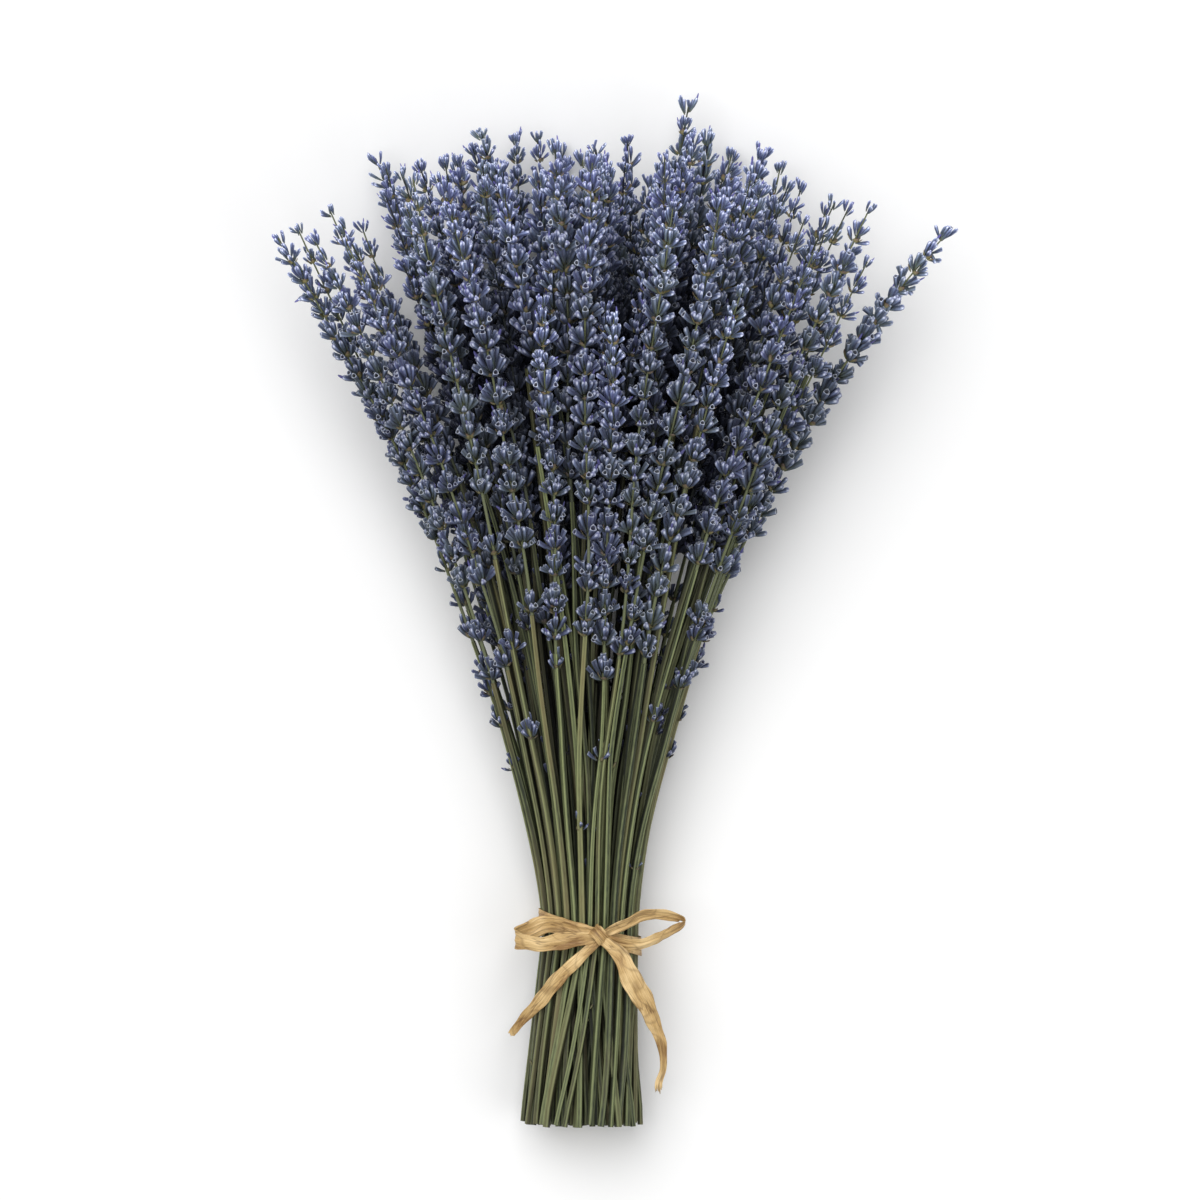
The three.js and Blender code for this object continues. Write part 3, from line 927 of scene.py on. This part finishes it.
# A small cupped leaf with a keel, in rows of four points.
def bractShape():
    half, length, thick = bract["width"] / 2, bract["length"], bract["thickness"]
    points = [(thick, 0, 0), (-thick, 0, 0)]
    tints = [bract["colours"][0]] * 2
    for rise, share, colour in bract["rows"]:
        edge = bract["cup"] * rise
        keel, z = edge - bract["keel"], rise * length
        points += [(edge, -share * half, z), (keel, 0, z), (edge, share * half, z), (keel - thick, 0, z)]
        tints += [bract["colours"][colour]] * 4
    points.append((bract["tipLean"], 0, length))
    tints.append(bract["colours"][2])
    faces = [(0, 3, 2), (0, 4, 3), (1, 2, 5), (1, 5, 4), (0, 2, 1), (0, 1, 4)]
    last = len(points) - 1
    for low in range(2, last, 4):
        for a, b in ((0, 1), (1, 2), (2, 3), (3, 0)):
            end = (last,) if low + 4 == last else (low + 4 + b, low + 4 + a)
            faces.append((low + a, low + b, *end))
    return points, tints, faces


def makeFloretShapes():
    sides, bend = calyx["sides"], calyx["bend"]
    closed = tubeShape(calyx["rings"], calyx["tip"], sides, bend)
    mouth = tubeShape(calyx["mouthRings"], calyx["mouthFloor"], sides, bend)
    petalRings = [(rise, radius, *calyx["petalColours"]) for rise, radius in calyx["petalRings"]]
    petalTip = (calyx["petalTip"], calyx["petalColours"][1])
    petal = tubeShape(petalRings, petalTip, calyx["petalSides"], bend)
    shapes = {"closed": closed, "open": mouth, "petals": joinShapes(closed, petal), "bract": bractShape()}
    group = bpy.data.collections.new("floretShapes")
    bpy.context.scene.collection.children.link(group)
    for name, (points, tints, faces) in shapes.items():
        plan = Plan(tint="FLOAT_COLOR")
        for point, tint in zip(points, tints):
            plan.add(point, tint=screenColour(*tint))
        plan.faces = faces
        shape = plan.piece(f"floretShape{kinds[name]}")
        bpy.context.scene.collection.objects.unlink(shape)
        group.objects.link(shape)
    return group


# Florets on the marked points, and a stalk along the lines.
def makeSpikeTree():
    labels = {"Florets": "Collection", "Stalk Sides": "Int", "Stalk Colour": "Color", "Finish": "Material"}
    inputs = startTree("lavenderSpikes", labels)
    marks = inputs.other("Geometry")
    shape = named(inputs, "shape", "INT")
    settings = {"data_type": "INT", "operation": "GREATER_EQUAL"}
    isFloret = inputs.node("FunctionNodeCompare", settings, {2: shape, 3: kinds["closed"]})
    sockets = {"Collection": inputs.other("Florets"), "Separate Children": True, "Reset Children": True}
    shapes = inputs.node("GeometryNodeCollectionInfo", {}, sockets)
    turn = inputs.node("FunctionNodeEulerToRotation", {}, {0: named(inputs, "turn", "FLOAT_VECTOR")})
    sockets = {
        "Points": marks,
        "Selection": isFloret,
        "Instance": shapes,
        "Pick Instance": True,
        "Instance Index": shape,
        "Rotation": turn,
        "Scale": named(inputs, "size", "FLOAT_VECTOR"),
    }
    florets = inputs.node("GeometryNodeInstanceOnPoints", {}, sockets)
    lines = inputs.node("GeometryNodeMeshToCurve", {}, {"Mesh": marks})
    sockets = {"Resolution": inputs.other("Stalk Sides"), "Radius": 1.0}
    stalk = sweep(lines, inputs.node("GeometryNodeCurvePrimitiveCircle", {}, sockets))
    coloured = store(stalk, "tint", inputs.other("Stalk Colour"), "FLOAT_COLOR")
    both = inputs.node("GeometryNodeJoinGeometry", {}, {"Geometry": [florets, coloured]})
    return finishTree(both, inputs.other("Finish"))


# Where florets and stalks go. The whorls set the shade of what they add.
class Marks(Plan):
    def __init__(self):
        ways = {"turn": "FLOAT_VECTOR", "size": "FLOAT_VECTOR"}
        super().__init__(**ways, shape="INT", tone="FLOAT", shade="FLOAT", halfWidth="FLOAT")
        self.shade = 1

    # A floret from a point on its stalk, bending up along the stalk.
    def floret(self, point, direction, tangent, size, shape, tone):
        lift = calyx["length"] * size[2]
        point = Vector((point.x, point.y, max(point.z, floretRoom["foot"])))
        least = min(floretRoom["steepest"], (floretRoom["tip"] - point.z) / lift)
        if direction.z < least:
            x, y = (a + floretRoom["ahead"] * b for a, b in zip(direction.xy, tangent.xy))
            level = Vector((x, y, 0)).normalized()
            direction = level * math.sqrt(1 - least**2) + Vector((0, 0, least))
        inward = (tangent - direction * tangent.dot(direction)).normalized()
        across = direction.cross(inward)
        turn = Matrix((inward, across, direction)).transposed().to_euler()
        self.add(point, turn=turn, size=size, shape=shape, tone=tone, shade=self.shade, halfWidth=0)

    def stalk(self, points, radii, tone):
        plain = {"turn": (0, 0, 0), "size": (1, 1, 1), "shape": kinds["stalk"]}
        for i, (point, radius) in enumerate(zip(points, radii)):
            self.add(point, joined=i > 0, **plain, tone=tone, shade=self.shade, halfWidth=radius * mm)


spikes = {
    "seed": 100,
    "tipGap": 5.2,  # tip of the sprig to its last whorl
    "firstStep": 7.8,  # between whorls at the tip
    "stepGrowth": 0.31,
    "stepSpread": (0.84, 1.16),
    "counts": (7, 10, 12, 14, 16, 17, 18, 18, 18, 18, 17, 16, 15, 14),  # florets, from the tip down
    "countSpread": (-1, 0, 0, 1),
    "sizes": (0.88, 0.97, 1.04, 1.09, 1.12, 1.13, 1.13, 1.13, 1.13, 1.12, 1.11, 1.1, 1.08, 1.06),
    "sizeSpread": (0.86, 1.14),
    "vigour": (0.88, 1.1),  # how large all the whorls of a sprig are
    "looseCount": 10,  # whorls from the tip down that are looser on the sprigs at the two sides
    "looseSize": 0.12,  # how much smaller those whorls are, as a share,
    "looseGap": 0.28,  # how much further apart,
    "looseFlorets": 0.14,  # and how many fewer florets they have
    "slim": (0.78, 4),  # how wide florets are at the tip, and how many whorls down it lasts
    "open": (0.12, 0.52, 10),  # share of open florets at the tip, further down, and how far down
    "tone": (0.5, 0.17),
    "aged": (0.16, -0.2, 12),  # what is added to the tone, in the same way
    "loneRise": 3,
    "loneCounts": (9, 10, 11, 12),
    "loneOpen": 0.5,
    "stalkRadii": (0.7, 0.28),
    "stalkPower": 0.9,
    "stalkEnds": (0.5, 3),
    "stalkSteps": 20,
    "stalkSides": 6,
    "stalkTone": 0.42,
    "stalkColour": screenColour(96, 102, 62),
}
whorl = {
    "askew": 0.13,  # how far a whorl leans off its stalk
    "toneSpread": 0.14,
    "floretToneSpread": 0.3,
    "outerShare": 0.5,
    "turnSpread": 0.3,
    "bunching": 0.3,  # how far florets draw together on two sides of the stalk
    # How many degrees each kind of floret leans off the stalk. Every third inner one is a top.
    "tilts": {"outer": (36, 76), "inner": (6, 40), "top": (2, 15), "tip": (8, 42)},
    "lifts": {"inner": 1.7, "top": 3.4},
    "liftSpread": 0.9,
    "foot": 0.9,  # axis to the floor of a calyx
    "long": (0.76, 1.14),
    "wide": (0.88, 1.12),
    "petalShare": 0.07,
    "bracts": 4,
    "bractTilt": (28, 68),
    "bractTurn": 0.4,
    "bractSize": (0.7, 1.1),
    "bractDrop": 0.4,
    "bractTone": 0.5,
}
# The lowest that a floret's ends go over the table, and how it turns up to keep to that.
floretRoom = {"foot": 2, "tip": 2.8, "steepest": 0.9, "ahead": 0.1}


# The way out from the stalk at a turn round it, and a direction that leans that way.
def leanOut(directions, turn, degrees):
    tangent, side, over = directions
    tilt = math.radians(degrees)
    radial = side * math.cos(turn) + over * math.sin(turn)
    return radial, tangent * math.cos(tilt) + radial * math.sin(tilt)


def addWhorl(marks, sprig, y, count, size, chance, openShare, tone=0.5, isTip=False, slim=1):
    tangent, side, over = sprig.directions(y)
    tangent = tangent + (side * chance.gauss(0, 1) + over * chance.gauss(0, 1)) * whorl["askew"]
    tangent = tangent.normalized()
    directions = (tangent, side, over)
    centre = sprig.at(y)
    marks.shade = sprig.shadeAt(y)
    tone = portion(chance.gauss(tone, whorl["toneSpread"]))
    first = chance.uniform(0, fullTurn)
    outerCount = round(count * whorl["outerShare"])

    def turnOf(i, group, spread):
        return first + fullTurn * (i + chance.uniform(-spread, spread)) / group

    for i in range(count):
        isOuter = i < outerCount
        turn = turnOf(i, outerCount if isOuter else count - outerCount, whorl["turnSpread"])
        turn += whorl["bunching"] * math.sin(2 * (turn - first))
        kind = "tip" if isTip else "outer" if isOuter else "inner" if i % 3 else "top"
        radial, direction = leanOut(directions, turn, chance.uniform(*whorl["tilts"][kind]))
        foot = centre + radial * whorl["foot"]
        lift = whorl["lifts"].get(kind, 0) + chance.uniform(-whorl["liftSpread"], whorl["liftSpread"])
        foot += tangent * lift
        draw = chance.random() - openShare
        look = "open" if draw < 0 else "petals" if draw < whorl["petalShare"] else "closed"
        long = size * chance.uniform(*whorl["long"])
        wide = size * chance.uniform(*whorl["wide"]) * slim
        own = portion(tone + chance.uniform(-whorl["floretToneSpread"], whorl["floretToneSpread"]))
        marks.floret(foot, direction, tangent, (wide, wide, long), kinds[look], own)
    for i in range(0 if isTip else whorl["bracts"]):
        turn = turnOf(i, whorl["bracts"], whorl["bractTurn"])
        radial, direction = leanOut(directions, turn, chance.uniform(*whorl["bractTilt"]))
        scale = size * chance.uniform(*whorl["bractSize"])
        foot = centre - tangent * whorl["bractDrop"] + radial * whorl["foot"]
        marks.floret(foot, direction, tangent, (scale,) * 3, kinds["bract"], whorl["bractTone"])


def addSpike(marks, sprig, chance):
    y = sprig.tipY - spikes["tipGap"]
    step = spikes["firstStep"]
    number = 0

    # What a setting comes to at this whorl, if it takes so many whorls from first to second.
    def downTo(first, second, whorls):
        return mix(first, second, min(1, number / whorls))

    tone = chance.gauss(*spikes["tone"])
    vigour = chance.uniform(*spikes["vigour"])
    last = len(spikes["counts"]) - 1
    while y > sprig.baseY:
        loose = sprig.loose * max(0, 1 - number / spikes["looseCount"])
        count = round(spikes["counts"][min(number, last)] * (1 - spikes["looseFlorets"] * loose))
        count += chance.choice(spikes["countSpread"])
        size = spikes["sizes"][min(number, last)] * (1 - spikes["looseSize"] * loose)
        size *= chance.uniform(*spikes["sizeSpread"]) * vigour
        aged = tone + downTo(*spikes["aged"])
        slimAt, slimOver = spikes["slim"]
        slim = downTo(slimAt, 1, slimOver)
        addWhorl(marks, sprig, y, count, size, chance, downTo(*spikes["open"]), aged, number == 0, slim)
        gap = step * sprig.spacing * (1 + spikes["looseGap"] * loose)
        y -= gap * chance.uniform(*spikes["stepSpread"])
        step += spikes["stepGrowth"]
        number += 1
    if sprig.hasLone:
        count = chance.choice(spikes["loneCounts"])
        addWhorl(marks, sprig, sprig.startY + spikes["loneRise"], count, 1, chance, spikes["loneOpen"])
    below, under = spikes["stalkEnds"]
    shares = [i / spikes["stalkSteps"] for i in range(spikes["stalkSteps"] + 1)]
    points = [sprig.at(mix(sprig.startY - below, sprig.tipY - under, share)) for share in shares]
    radii = [mix(*spikes["stalkRadii"], share ** spikes["stalkPower"]) for share in shares]
    marks.stalk(points, radii, spikes["stalkTone"])


spikeTree = makeSpikeTree()
floretShapes = makeFloretShapes()
spikeInputs = {
    "Florets": floretShapes,
    "Stalk Sides": spikes["stalkSides"],
    "Stalk Colour": spikes["stalkColour"],
    "Finish": flowerMaterial,
}


def makeSpikes():
    pieces = []
    for number in range(1, len(sprigs) // 2 + 1):
        chance = random.Random(spikes["seed"] + number)
        marks = Marks()
        for sprig in sprigs[2 * number - 2 : 2 * number]:
            addSpike(marks, sprig, chance)
        pieces.append(marks.piece(f"lavender_spikes_{number:02d}", spikeTree, spikeInputs))
    settle(pieces)
    for number, piece in enumerate(pieces, 1):
        dress(piece, "flower", f"flower_heads_{number:02d}")


makeSpikes()
print("spikes made")


# Low whorls and loose buds among the stems.
lowFlowers = {
    "seed": 31,
    # Whorls on stems of the upper side: across, along, florets, size.
    "whorls": (
        (-20.5, 76.3, 12, 0.95), (1.5, 67.8, 7, 0.85), (-2.7, 40.7, 4, 0.6), (18.2, 25.2, 4, 0.55),
        (34.1, 95.6, 9, 0.8), (38.7, 114.2, 10, 0.9), (-38.7, 114.2, 12, 1), (-28.3, 111.1, 11, 0.95),
        (-2.7, 139.4, 13, 1.05), (-13.6, 127.8, 10, 0.95), (1.5, 116.2, 12, 1), (12.4, 137, 8, 0.85),
        (23, 83, 7, 0.75), (-9, 104, 7, 0.7),
    ),
    "overMiddle": 5,  # those stems are that far over the middle of the bunch
    "open": 0.45,
    # Whorls on the upper stems, under the spikes, and small ones down between the stems: how
    # many, from where to where, sizes, florets, share of open ones, tone.
    "upper": (30, (116, 170), (0.78, 1.05), (8, 13), 0.5, 0.5),
    "deep": (130, (64, 176), (0.6, 0.96), (6, 11), 0.4, 0.6),
}
# Rows of small buds down between the stems, and dry scraps caught between those on top.
buds = {
    "rows": 40,
    "rings": (4, 5),
    "span": (20, 130),
    "count": (4, 9),
    "turn": 0.2,  # they stay that far, in radians, off the two sides of their stem
    "tilt": (8, 32),
    "size": (0.44, 0.74),
    "tone": (0.6, 1),
    "step": 4.8,
    "stepSpread": (0.8, 1.5),
}
scraps = {
    "count": 34,
    "span": (-60, 150),
    "offTie": 8,
    "askew": ((-0.6, 0.6), (-0.1, 0.2)),
    "place": ((-1.4, 1.4), (0.2, 0.8)),
    "size": ((0.3, 0.6), (0.3, 0.6), (0.5, 1.1)),
    "tone": 0.1,
}


# The sprigs of some rings, between two heights in the bunch: -1 is its underside, 1 its top.
def pick(rings, above=-2, below=2):
    return [one for one in sprigs if one.ring in rings and above < math.sin(one.angle) < below]


def addLowWhorls(marks, chance):
    for x, y, count, size in lowFlowers["whorls"]:
        least = bunchMiddle(y)[1] + lowFlowers["overMiddle"]
        facing = [one for one in pick((outerRing,)) if one.at(y).z > least]
        sprig = min(facing, key=lambda one: abs(one.at(y).x - x))
        addWhorl(marks, sprig, y, count, size, chance, lowFlowers["open"])
    places = {"upper": pick((5, 6), above=0.1), "deep": pick((2, 3, 4)) + pick((5, 6), below=0.2)}
    for name in ("upper", "deep"):
        many, span, sizes, florets, openShare, tone = lowFlowers[name]
        for sprig in chance.choices(places[name], k=many):
            y, size = chance.uniform(*span), chance.uniform(*sizes)
            addWhorl(marks, sprig, y, chance.randint(*florets), size, chance, openShare, tone)


def addBuds(marks, chance):
    inner = pick(buds["rings"], above=0.1)
    for sprig in chance.sample(inner, min(len(inner), buds["rows"])):
        y = chance.uniform(*buds["span"])
        marks.shade = sprig.shadeAt(y)
        for _ in range(chance.randint(*buds["count"])):
            directions = sprig.directions(y)
            turn = chance.uniform(buds["turn"], math.pi - buds["turn"])
            radial, direction = leanOut(directions, turn, chance.uniform(*buds["tilt"]))
            size = chance.uniform(*buds["size"])
            foot = sprig.at(y) + radial * stems["radius"]
            tone = chance.uniform(*buds["tone"])
            marks.floret(foot, direction, directions[0], (size,) * 3, kinds["closed"], tone)
            y += buds["step"] * chance.uniform(*buds["stepSpread"])


def addScraps(marks, chance):
    places = pick((5, 6), above=0.2)
    marks.shade = 1
    for _ in range(scraps["count"]):
        sprig = chance.choice(places)
        y = chance.uniform(*scraps["span"])
        tangent, side, over = sprig.directions(y)
        aside, up = (chance.uniform(*span) for span in scraps["askew"])
        direction = (tangent + side * aside + over * up).normalized()
        aside, up = (chance.uniform(*span) for span in scraps["place"])
        foot = sprig.at(y) + side * aside + over * up
        size = tuple(chance.uniform(*span) for span in scraps["size"])
        if abs(y) > scraps["offTie"]:
            marks.floret(foot, direction, over, size, kinds["bract"], scraps["tone"])


def makeLowFlowers():
    chance = random.Random(lowFlowers["seed"])
    marks = Marks()
    addLowWhorls(marks, chance)
    addBuds(marks, chance)
    addScraps(marks, chance)
    piece = marks.piece("low_flowers", spikeTree, spikeInputs)
    settle([piece])
    dress(piece, "flower")


makeLowFlowers()
for shape in list(floretShapes.objects):
    bpy.data.objects.remove(shape)
bpy.data.collections.remove(floretShapes)
print("low flowers made")


raffia = {
    "bandInner": (19.7, 17.6),
    "bandWidth": 7.5,
    "bandNarrow": 0.18,  # how much narrower the band is on top, as a share
    "bandTilt": 5.6,  # the band climbs that much to its left side
    "bandTopZ": 36.6,
    "bandOut": 0.36,  # from the band's inside to the middle of the strip
    "bandSteps": 110,
    # Room for pleats on the band, and on the table, where it lies flat.
    "bandRoom": 0.32,
    "flatRoom": 0.05,
    "flatUnder": -0.8,
    "thickness": 0.28,
    "acrossSteps": 22,
    "pleatWidth": 7,  # the width that a setting across the strip is for
    "step": 0.7,
    "edgeUnlike": 0.06,
    "edgeWaves": (0.26, 0.61),
    "flatWidth": 10,
    "raggedOver": 9,  # rows at a tail's end that its ragged edge takes in
    "teeth": (0.85, 0.6, 0.4),  # the waves across the strip that the ragged edge follows
    "ragged": {"leftTail": 1.2, "rightTail": 3.6},
    "knot": {
        "place": (3.3, -0.2, 2.5),
        "half": (3.5, 2.9),
        "width": 5.4,
        "narrow": 0.18,
        "turn": 0.75,
        "turns": ((1, 0), (0.82, 1.2)),  # the size of each turn of the strip, and how far it leans
        "steps": 34,
        "room": 0.8,
    },
    # Loose runs from the knot: how far the strip leans, then across, along, height over the
    # band's top, width.
    "runs": {
        "leftLoop": (0.15, (
            (2, -1, 2.2, 3.6), (-6, -1.9, 3.4, 6), (-13, -3, 3.4, 6.8), (-19, -3.9, 2, 5.4),
            (-24.6, -3, 0, 6.2), (-28.6, -2.2, -2.8, 7.4), (-27.4, -0.6, -5.4, 7.4), (-23, 1, -6.8, 7.6),
            (-18, 3.4, -6.6, 7), (-12, 3.4, -2.6, 6), (-5, 1.6, 0.5, 5.6), (2, 0.2, 1.6, 4.2),
        )),
        "rightLoop": (0.6, (
            (6, 0.4, 1.8, 3.8), (13, 3.6, 2.4, 5.2), (21, 7, 1.2, 5.2), (29, 7.4, -1, 4.6),
            (35.8, 5, -3.5, 3.6), (31.6, 1, -3.5, 4.4), (25, -2, -1, 5), (17, -4, 1.4, 5.2),
            (7, -2, 2, 3.8),
        )),
        "leftTail": (0.1, (
            (3, -2.6, 1.8, 3.4), (-4.2, -9.3, 1.2, 4.4), (-10.7, -15.5, 0.4, 5.2), (-15.9, -21.8, -2.4, 5.5),
            (-20.8, -27.7, -6.2, 5), (-25.5, -32.9, -11, 3.8), (-31.2, -40.3, -16.5, 2.5),
        )),
        "rightTail": (-0.15, (
            (5, -2, 2.4, 4.2), (11.8, -8.3, 1.6, 6.2), (15, -14.6, 1, 7.6), (18.2, -21.2, -0.6, 8.7),
            (21.3, -27, -2.6, 7.4), (23.9, -32.5, -5, 6), (26.2, -38, -7.6, 4.8), (27.9, -43.6, -10, 3.8),
            (28.6, -52.6, -14, 2.4), (26.9, -58.8, -15.4, 3), (27.1, -63.4, -16, 2.6),
        )),
    },
}
# What the tree pushes out of the strip: pleats along it, long creases, sharp folds across it
# and crumples all over.
pleats = {
    "count": 1.6,
    "depth": 0.12,
    "wander": (0.045, 9),
    "creaseDepth": 2.2,
    "foldDepth": 0.25,
    "foldGain": 6,
    "foldStretch": (0.1, 0.11),
    "crumple": 1.3,
    "crumpleScale": 75,
}


def makeRaffiaTree():
    sizes = ("Pleats", "Pleat Depth", "Crease Depth", "Fold Depth", "Crumple", "Crumple Scale")
    inputs = startTree("raffiaPleats", {**{label: "Float" for label in sizes}, "Finish": "Material"})
    across, along = named(inputs, "across"), named(inputs, "along")

    def lineNoise(place, detail):
        sockets = {"W": place, "Scale": 1.0, "Detail": detail}
        return inputs.node("ShaderNodeTexNoise", {"noise_dimensions": "1D"}, sockets)

    stretch, gain = pleats["wander"]
    wave = across * inputs.other("Pleats") * math.pi + lineNoise(along * stretch, 2.0) * gain
    wide, long = pleats["foldStretch"]
    fold = abs(lineNoise(along * long + across * wide, 1.0) - 0.5) * pleats["foldGain"]
    place = inputs.node("GeometryNodeInputPosition")
    rough = noise(inputs, place, (inputs.other("Crumple Scale"), 2.0))
    push = wave.maths("SINE", wave) * inputs.other("Pleat Depth")
    push = push - creaseNoise(inputs, across, along) * inputs.other("Crease Depth")
    push = push - fold.atMost(1) * inputs.other("Fold Depth")
    push = (push + (rough - 0.5) * inputs.other("Crumple")) * named(inputs, "room")
    sockets = {0: named(inputs, "face", "FLOAT_VECTOR"), "Scale": push}
    offset = inputs.node("ShaderNodeVectorMath", {"operation": "SCALE"}, sockets)
    sockets = {"Geometry": inputs.other("Geometry"), "Offset": offset}
    return finishTree(inputs.node("GeometryNodeSetPosition", {}, sockets), inputs.other("Finish"))


# A smooth curve through the points, as one list of evenly stepped points.
def smoothPath(points):
    ends = [points[0], *points, points[-1]]
    path = []
    for i in range(1, len(ends) - 2):
        before, a, b, after = (Vector(ends[k]) for k in (i - 1, i, i + 1, i + 2))
        steps = max(2, round((b.xyz - a.xyz).length / raffia["step"]))
        for j in range(steps):
            t = j / steps
            path.append(
                0.5 * (2 * a + (b - before) * t + (2 * before - 5 * a + 4 * b - after) * t * t
                       + (3 * a - before - 3 * b + after) * t**3)
            )
    path.append(Vector(points[-1]))
    return path


class Strip(Plan):
    def __init__(self):
        super().__init__(across="FLOAT", along="FLOAT", room="FLOAT", face="FLOAT_VECTOR")
        self.length = 0
        self.area = 0

    # Rows = (middle, edge direction, face direction, width, room for pleats).
    def addRows(self, rows, closed=False, ragged=None):
        start, count = len(self.points), len(rows)
        steps = raffia["acrossSteps"]
        unlike = 0 if closed else raffia["edgeUnlike"]
        total = 0
        slow, fast = raffia["edgeWaves"]
        for i, (middle, edge, face, width, room) in enumerate(rows):
            if i:
                stride = (middle - rows[i - 1][0]).length
                total += stride
                self.area += stride * width
            run = self.length + total
            waves = (math.sin(run * slow + k) + math.sin(run * fast + 2 * k) for k in (1, 4))
            low, high = (1 + unlike * wave for wave in waves)
            for k in range(steps + 1):
                side = mix(-low, high, k / steps)
                across = side * width / raffia["pleatWidth"]
                self.add(middle + edge * (side * width / 2), across=across, along=run, room=room, face=face)
        for i in range(count if closed else count - 1):
            low = start + i * (steps + 1)
            high = start + ((i + 1) % count) * (steps + 1)
            self.faces += [(low + k, low + k + 1, high + k + 1, high + k) for k in range(steps)]
        if ragged:
            self.tearEnd(rows, start, ragged)
        self.length += total

    # Pulls the last rows back, further in some places across the strip than in others.
    def tearEnd(self, rows, start, ragged):
        steps, count = raffia["acrossSteps"], len(rows)
        fast, shift, slow = raffia["teeth"]
        for k in range(steps + 1):
            back = ragged * (1 + math.sin(k * fast + shift) * math.cos(k * slow)) / 2
            for i in range(count):
                share = max(0, 1 - (count - 1 - i) / raffia["raggedOver"])
                row = start + i * (steps + 1) + k
                towards = (rows[i][0] - rows[max(i - 1, 0)][0]).normalized()
                self.points[row] = self.points[row] - towards * (back * share)


def addRun(strip, tilt, points, isTail, ragged):
    placed = [(x, y, raffia["bandTopZ"] + over, width) for x, y, over, width in points]
    path = smoothPath(placed)
    rows = []
    for i, at in enumerate(path):
        along = (path[min(i + 1, len(path) - 1)].xyz - path[max(i - 1, 0)].xyz).normalized()
        level = Vector((along.y, -along.x, 0)).normalized() if isTail else Vector((0, 1, 0))
        wide = level * math.cos(tilt) + Vector((0, 0, 1)) * math.sin(tilt)
        face = along.cross(wide).normalized()
        rows.append((at.xyz, face.cross(along).normalized(), face, at[3], 1))
    strip.addRows(rows, ragged=ragged)


# Sine and cosine of each step round a closed turn of the strip, from its lowest point.
def turnSteps(count):
    for i in range(count):
        angle = fullTurn * i / count - math.pi / 2
        yield math.sin(angle), math.cos(angle)


def addBand(strip):
    innerX, innerZ = raffia["bandInner"]
    out = raffia["bandOut"]
    rows = []
    for sine, cosine in turnSteps(raffia["bandSteps"]):
        z = bunch["tieCentreZ"] + (innerZ + out) * sine
        middle = Vector(((innerX + out) * cosine, -raffia["bandTilt"] * cosine, z))
        face = Vector((cosine / innerX, 0, sine / innerZ)).normalized()
        width = raffia["bandWidth"] * (1 - raffia["bandNarrow"] * max(0, sine))
        room = raffia["bandRoom" if sine > raffia["flatUnder"] else "flatRoom"]
        rows.append((middle, Vector((0, 1, 0)), face, width, room))
    strip.addRows(rows, closed=True)


def addKnot(strip):
    knot = raffia["knot"]
    x, y, over = knot["place"]
    centre = Vector((x, y, raffia["bandTopZ"] + over))
    edge = Vector((math.cos(knot["turn"]), math.sin(knot["turn"]), 0))
    forward = Vector((-edge.y, edge.x, 0))
    for scale, lean in knot["turns"]:
        ahead, up = (size * scale for size in knot["half"])
        rows = []
        for sine, cosine in turnSteps(knot["steps"]):
            out = forward * (ahead * cosine) + Vector((0, 0, up * sine))
            face = (forward * (cosine / ahead) + Vector((0, 0, sine / up))).normalized()
            width = knot["width"] * scale * (1 - knot["narrow"] + knot["narrow"] * abs(cosine))
            rows.append((centre + out + edge * (lean * sine), edge, face, width, knot["room"]))
        strip.addRows(rows, closed=True)


def makeRaffia():
    strip = Strip()
    addBand(strip)
    for name, (tilt, points) in raffia["runs"].items():
        addRun(strip, tilt, points, name.endswith("Tail"), raffia["ragged"].get(name))
    addKnot(strip)
    inputs = {
        "Pleats": pleats["count"],
        "Pleat Depth": pleats["depth"] * mm,
        "Crease Depth": pleats["creaseDepth"] * mm,
        "Fold Depth": pleats["foldDepth"] * mm,
        "Crumple": pleats["crumple"] * mm,
        "Crumple Scale": pleats["crumpleScale"],
        "Finish": raffiaMaterial,
    }
    piece = strip.piece("raffia_strip", makeRaffiaTree(), inputs)
    wall = piece.modifiers.new("thickness", "SOLIDIFY")
    wall.thickness = raffia["thickness"] * mm
    wall.offset = 0
    settle([piece])
    dress(piece, "raffia", "raffia_tie")
    strip.area * mm**2
    print(f"raffia {strip.length:.0f} mm long, {strip.area:.0f} mm2 flat")


makeRaffia()
